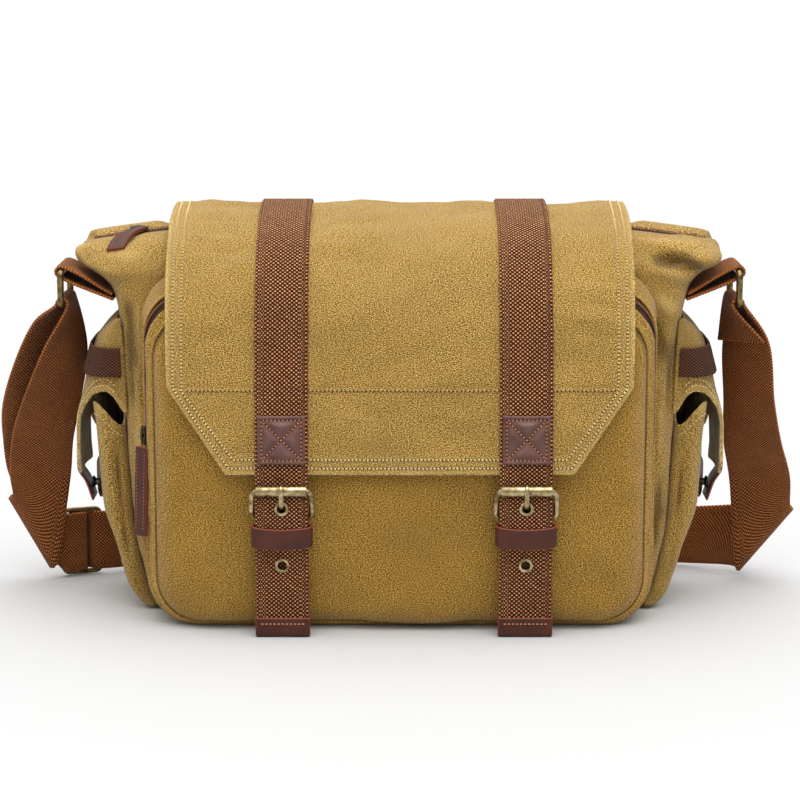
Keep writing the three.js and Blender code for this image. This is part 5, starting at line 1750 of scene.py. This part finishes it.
RIGHT_TAIL = np.array([[1.082, -0.218, 0.875, 0.966, 0.274, 0.86]])
BEHIND_ROWS = np.array([
    # x share, y share, height of the lower edge as a share of the strap's width
    [-0.868, 1.29, 0.075],
    [-0.685, 1.565, 0.04],
    [-0.342, 1.677, 0.03],
    [0, 1.71, 0.03],
    [0.342, 1.677, 0.03],
    [0.685, 1.613, 0.04],
    [0.93, 1.45, 0.07],
])
SLIDER_ALONG = unit(np.array([0.95, 0.31, 0]))
SLIDER_FACING = np.cross([0, 0, -1], SLIDER_ALONG)
STRIP_LOW = SLIDER_LOW + SLIDER_BAR + 2 * GAP
BESIDE_BAR = SLIDER_BAR + GAP + SHOULDER_THICKNESS / 2
PAST_LAYER = BESIDE_BAR + SHOULDER_THICKNESS + GAP


def leg_stations(side, rows):
    scale = np.array([side * RING_REACH, BODY_BACK, RING_LOW_Z] * 2)
    return (rows * scale).reshape(-1, 2, 3)


def ring_stations(side):
    wrap = RING_WIRE + 2 * GAP + SHOULDER_THICKNESS / 2
    points = arc((RING_REACH, RING_LOW_Z), wrap, 0, 180, 4)
    half = SHOULDER_WIDTH / 2
    return np.array([[[side * x, -half, z], [side * x, half, z]] for x, z in points])


def slider_stations(places):
    stations = []
    for along, forward in places:
        low = np.array([*SLIDER_CENTRE, 0]) + along * SLIDER_SPACING * SLIDER_ALONG + forward * SLIDER_FACING
        low[2] = STRIP_LOW
        stations.append([low + [0, 0, SHOULDER_WIDTH], low])
    return np.array(stations)


def behind_stations():
    edges = BEHIND_ROWS * [RING_REACH, BODY_BACK, SHOULDER_WIDTH]
    return np.stack([edges + [0, 0, SHOULDER_WIDTH], edges], axis=1)


def hanging_curve(points, steps):
    """The curve of a band through its stations, with even shares between each two of them."""
    points = np.vstack([2 * points[:1] - points[1:2], points, 2 * points[-1:] - points[-2:-1]])
    curve = []
    for i in range(1, len(points) - 2):
        four = points[i - 1:i + 3]
        gaps = np.maximum(np.linalg.norm(np.diff(four, axis=0), axis=1), 1e-4) ** 0.5
        first = (four[1] - four[0]) / gaps[0] - (four[2] - four[0]) / (gaps[0] + gaps[1])
        first = (first + (four[2] - four[1]) / gaps[1]) * gaps[1]
        last = (four[2] - four[1]) / gaps[1] - (four[3] - four[1]) / (gaps[1] + gaps[2])
        last = (last + (four[3] - four[2]) / gaps[2]) * gaps[1]
        t = np.linspace(0, 1, steps, endpoint=False)[:, None]
        curve.append(
            four[1] + t * first + t**2 * (-3 * four[1] + 3 * four[2] - 2 * first - last)
            + t**3 * (2 * four[1] - 2 * four[2] + first + last)
        )
    return np.vstack([*curve, points[-2:-1]])


def make_shoulder_strap():
    around_slider = [
        (-0.08, -BESIDE_BAR), (0.15, -0.72 * BESIDE_BAR), (BESIDE_BAR / SLIDER_SPACING, 0),
        (0.15, 0.72 * BESIDE_BAR), (-0.02, BESIDE_BAR), (-0.4, 1.2 * BESIDE_BAR), (-1, PAST_LAYER),
    ]
    through_slider = [
        (-1, BESIDE_BAR), (-0.65, 0.2 * BESIDE_BAR), (-0.35, -0.78 * PAST_LAYER), (0, -1.05 * PAST_LAYER),
        (0.35, -0.78 * PAST_LAYER), (0.65, 0.2 * BESIDE_BAR), (1, BESIDE_BAR),
    ]
    stations = np.concatenate([
        slider_stations(around_slider),
        leg_stations(-1, LEFT_BACK_LEG),
        ring_stations(-1),
        leg_stations(-1, LEFT_FRONT_LEG),
        slider_stations(through_slider),
        behind_stations(),
        leg_stations(1, RIGHT_LEG),
        ring_stations(1),
        leg_stations(1, RIGHT_TAIL),
    ])
    edges = [hanging_curve(stations[:, edge], 12) for edge in (0, 1)]
    share = np.linspace(0, 1, 15)[None, :, None]
    grid = edges[0][:, None] + share * (edges[1] - edges[0])[:, None]
    names = ("shoulder_strap_webbing", SHOULDER_WEBBING, "shoulder_strap", "webbing")
    make_piece(*names, lay_centred, grid, SHOULDER_THICKNESS)


def make_strap_slider():
    top = STRIP_LOW + SHOULDER_WIDTH + 2 * GAP + SLIDER_BAR
    outline = box_outline(-SLIDER_SPACING, SLIDER_SPACING, SLIDER_LOW, top, 4, 14, 16, corner=8)
    middle = np.array([*SLIDER_CENTRE, 0])
    path = middle + outline[:, :1] * SLIDER_ALONG + outline[:, 1:] * [0, 0, 1]
    cut = Cut()
    lay_tube(cut, path, SLIDER_BAR, closed=True, sides=14, up=SLIDER_FACING)
    bar = middle + np.linspace(SLIDER_LOW, top, 9)[:, None] * [0, 0, 1]
    lay_tube(cut, bar, SLIDER_BAR * 0.98, sides=14, up=SLIDER_FACING)
    cut.make("slider_wire", BRONZE, "strap_slider")


make_shoulder_strap()
make_strap_slider()


# Zip sliders and pulls

def roof_height(x, y):
    """Height of the roof in front of the zip."""
    rows = BODY_ROWS[-3:][::-1]
    crown = crown_at(x)
    keys = np.concatenate([[-TOP_ZIP_Y + TOP_ZIP_WIDTH / 2], rows[:, 2] * BODY_FRONT])
    heights = np.concatenate([[BODY_HEIGHT + crown], rows[:, 0] * BODY_HEIGHT + rows[:, 4] * crown])
    return np.interp(-y, keys, heights)


def leather_pull(name, node, left, right, outward):
    """A pull of two layers of hide, sewn along both sides. Left and right are its edges."""
    share = np.linspace(0, 1, 12)[None, :, None]
    grid = left[:, None] + share * (right - left)[:, None]
    across = unit(right[0] - left[0])
    cut = Cut()
    for lift, slip in ((-0.64, 0.35), (0.64, 0.0)):
        lay_centred(cut, grid + lift * outward + slip * across, 1.15, outward)
    cut.make(name, HIDE, node)
    rows = []
    for place in (0.17, 0.83):
        path = left + place * (right - left) + 1.3 * outward
        rows.append((path[2:-2], np.broadcast_to(outward, path[2:-2].shape)))
    thread_piece(name + "_stitches", rows, PULL_THREAD, "leather", pitch=2.2, length=1.4, width=0.26)


def make_pulls():
    start = TOP_ZIP_Y - 4 - GAP
    rows = []
    for forward, sideways in ((0, 0.02), (0.25, 0.1), (0.42, 0.16), (0.58, 0.22)):
        y = start - forward * TOP_PULL_LENGTH
        x = TOP_SLIDER_X - sideways * TOP_PULL_LENGTH
        edges = (x - TOP_PULL_HALF, x + TOP_PULL_HALF)
        rows.append([[edge, y, roof_height(edge, y) + 2.7] for edge in edges])
    rows = np.array(rows)
    shares = np.linspace(0, 3, 34)
    left, right = (through(np.arange(4), rows[:, edge], shares) for edge in (0, 1))
    leather_pull("top_pull_leather", "top_zip_pull", left, right, unit(np.array([0, -0.5, 1.0])))
    reach = pocket_row(ZIP_REAR)[1] * POCKET_HALF_WIDTH
    top = np.array([-reach - 2.7, pocket_y(ZIP_FRONT) + 1.6, POCKET_ZIP_LOW - 1.5])
    hang = np.array([[0, 0, 0], [-0.8, -0.6, -18], [-1.4, -1.4, -38], [-2.2, -1.8, -57]])
    middle = top + through(np.arange(4), hang, shares)
    across = unit(np.array([0.78, -0.63, 0.0]))
    leather_pull(
        "front_pull_leather", "front_zip_pull", middle - FRONT_PULL_HALF * across,
        middle + FRONT_PULL_HALF * across, unit(np.array([-0.63, -0.78, 0.0])),
    )


def make_slider(name, node, along, outward):
    """A zip slider: a waisted plate on a post, with a bail for its pull."""
    low, high = (np.array(corner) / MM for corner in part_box(node))
    centre, half = (low + high) / 2, (high - low) / 2
    along, outward = np.array(along, float), np.array(outward, float)
    across = np.cross(along, outward)
    long, wide, deep = (np.abs(half @ way) for way in (along, across, outward))
    u, v = (share[..., None] for share in np.meshgrid(np.linspace(-1, 1, 13), np.linspace(-1, 1, 13)))
    plate = centre + along * long * u * (1 - 0.15 * v**2) + across * wide * v * (1 - 0.3 * (1 - u**2))
    cut = Cut()
    for face in (1, -1):
        dome = 0.55 + 0.25 * (1 - u**2) * (1 - v**2)
        lay_centred(cut, plate + face * outward * deep * dome, 0.9, face * outward)
    post = centre + np.linspace(-0.5, 0.5, 3)[:, None] * outward * deep
    lay_tube(cut, post, 1.3, sides=12, up=along)
    turn = np.linspace(0.1, np.pi - 0.1, 11)[:, None]
    bail = centre + outward * deep * (0.45 + 0.55 * np.sin(turn)) + along * long * 0.62 * np.cos(turn)
    lay_tube(cut, bail, 0.75, sides=10, up=across)
    cut.make(name, DARK_METAL, node)


make_pulls()
make_slider("top_slider", "top_zip_slider", (1, 0, 0), (0, 0, 1))
make_slider("front_slider", "front_zip_slider", (0, 0, 1), (-1, 0, 0))


# Stage, light and camera

def white_stage():
    material, _, shader = new_material("pale floor")
    shader.inputs["Base Color"].default_value = (0.555, 0.555, 0.555, 1.0)
    shader.inputs["Roughness"].default_value = 0.9
    mesh = bpy.data.meshes.new("floor")
    corners = [(-60, -60, 0), (60, -60, 0), (60, 60, 0), (-60, 60, 0)]
    mesh.from_pydata(corners, [], [(0, 1, 2, 3)])
    floor = bpy.data.objects.new("floor", mesh)
    mesh.materials.append(material)
    bpy.context.scene.collection.objects.link(floor)


def studio_light():
    world = bpy.data.worlds.new("studio")
    bpy.context.scene.world = world
    world.use_nodes = True
    tree = world.node_tree
    background = next(node for node in tree.nodes if node.type == "BACKGROUND")
    height = put(tree, "SeparateXYZ", {0: put(tree, "TexCoord").outputs["Generated"]}).outputs[2]
    background.inputs["Color"].default_value = (1.0, 1.0, 1.0, 1.0)
    upward = maths(tree, "MULTIPLY", spread(tree, height, 0.0, 1.0), height)
    glow = spread(tree, upward, 0.0, 1.0, 0.3, 2.5)
    seen = put(tree, "LightPath").outputs["Is Camera Ray"]
    strength = put(tree, "Mix", {0: seen, 2: glow, 3: 1.0}, data_type="FLOAT").outputs[0]
    tree.links.new(strength, background.inputs["Strength"])
    sun = bpy.data.lights.new("softbox", "SUN")
    sun.energy = 1.4
    sun.angle = math.radians(50)
    lamp = bpy.data.objects.new("softbox", sun)
    lamp.rotation_euler = (math.radians(14), math.radians(7), 0)
    bpy.context.scene.collection.objects.link(lamp)


def photo_camera():
    data = bpy.data.cameras.new("camera")
    data.lens = 109.0
    data.sensor_width = 36.0
    camera = bpy.data.objects.new("camera", data)
    tilt = math.radians(11)
    distance, aim = 1.6, 0.137
    camera.location = (0, -distance * math.cos(tilt), aim + distance * math.sin(tilt))
    camera.rotation_euler = (math.pi / 2 - tilt, 0, 0)
    bpy.context.scene.collection.objects.link(camera)
    bpy.context.scene.camera = camera


white_stage()
studio_light()
photo_camera()
view = bpy.context.scene.view_settings
view.view_transform = "Standard"
view.look = "None"
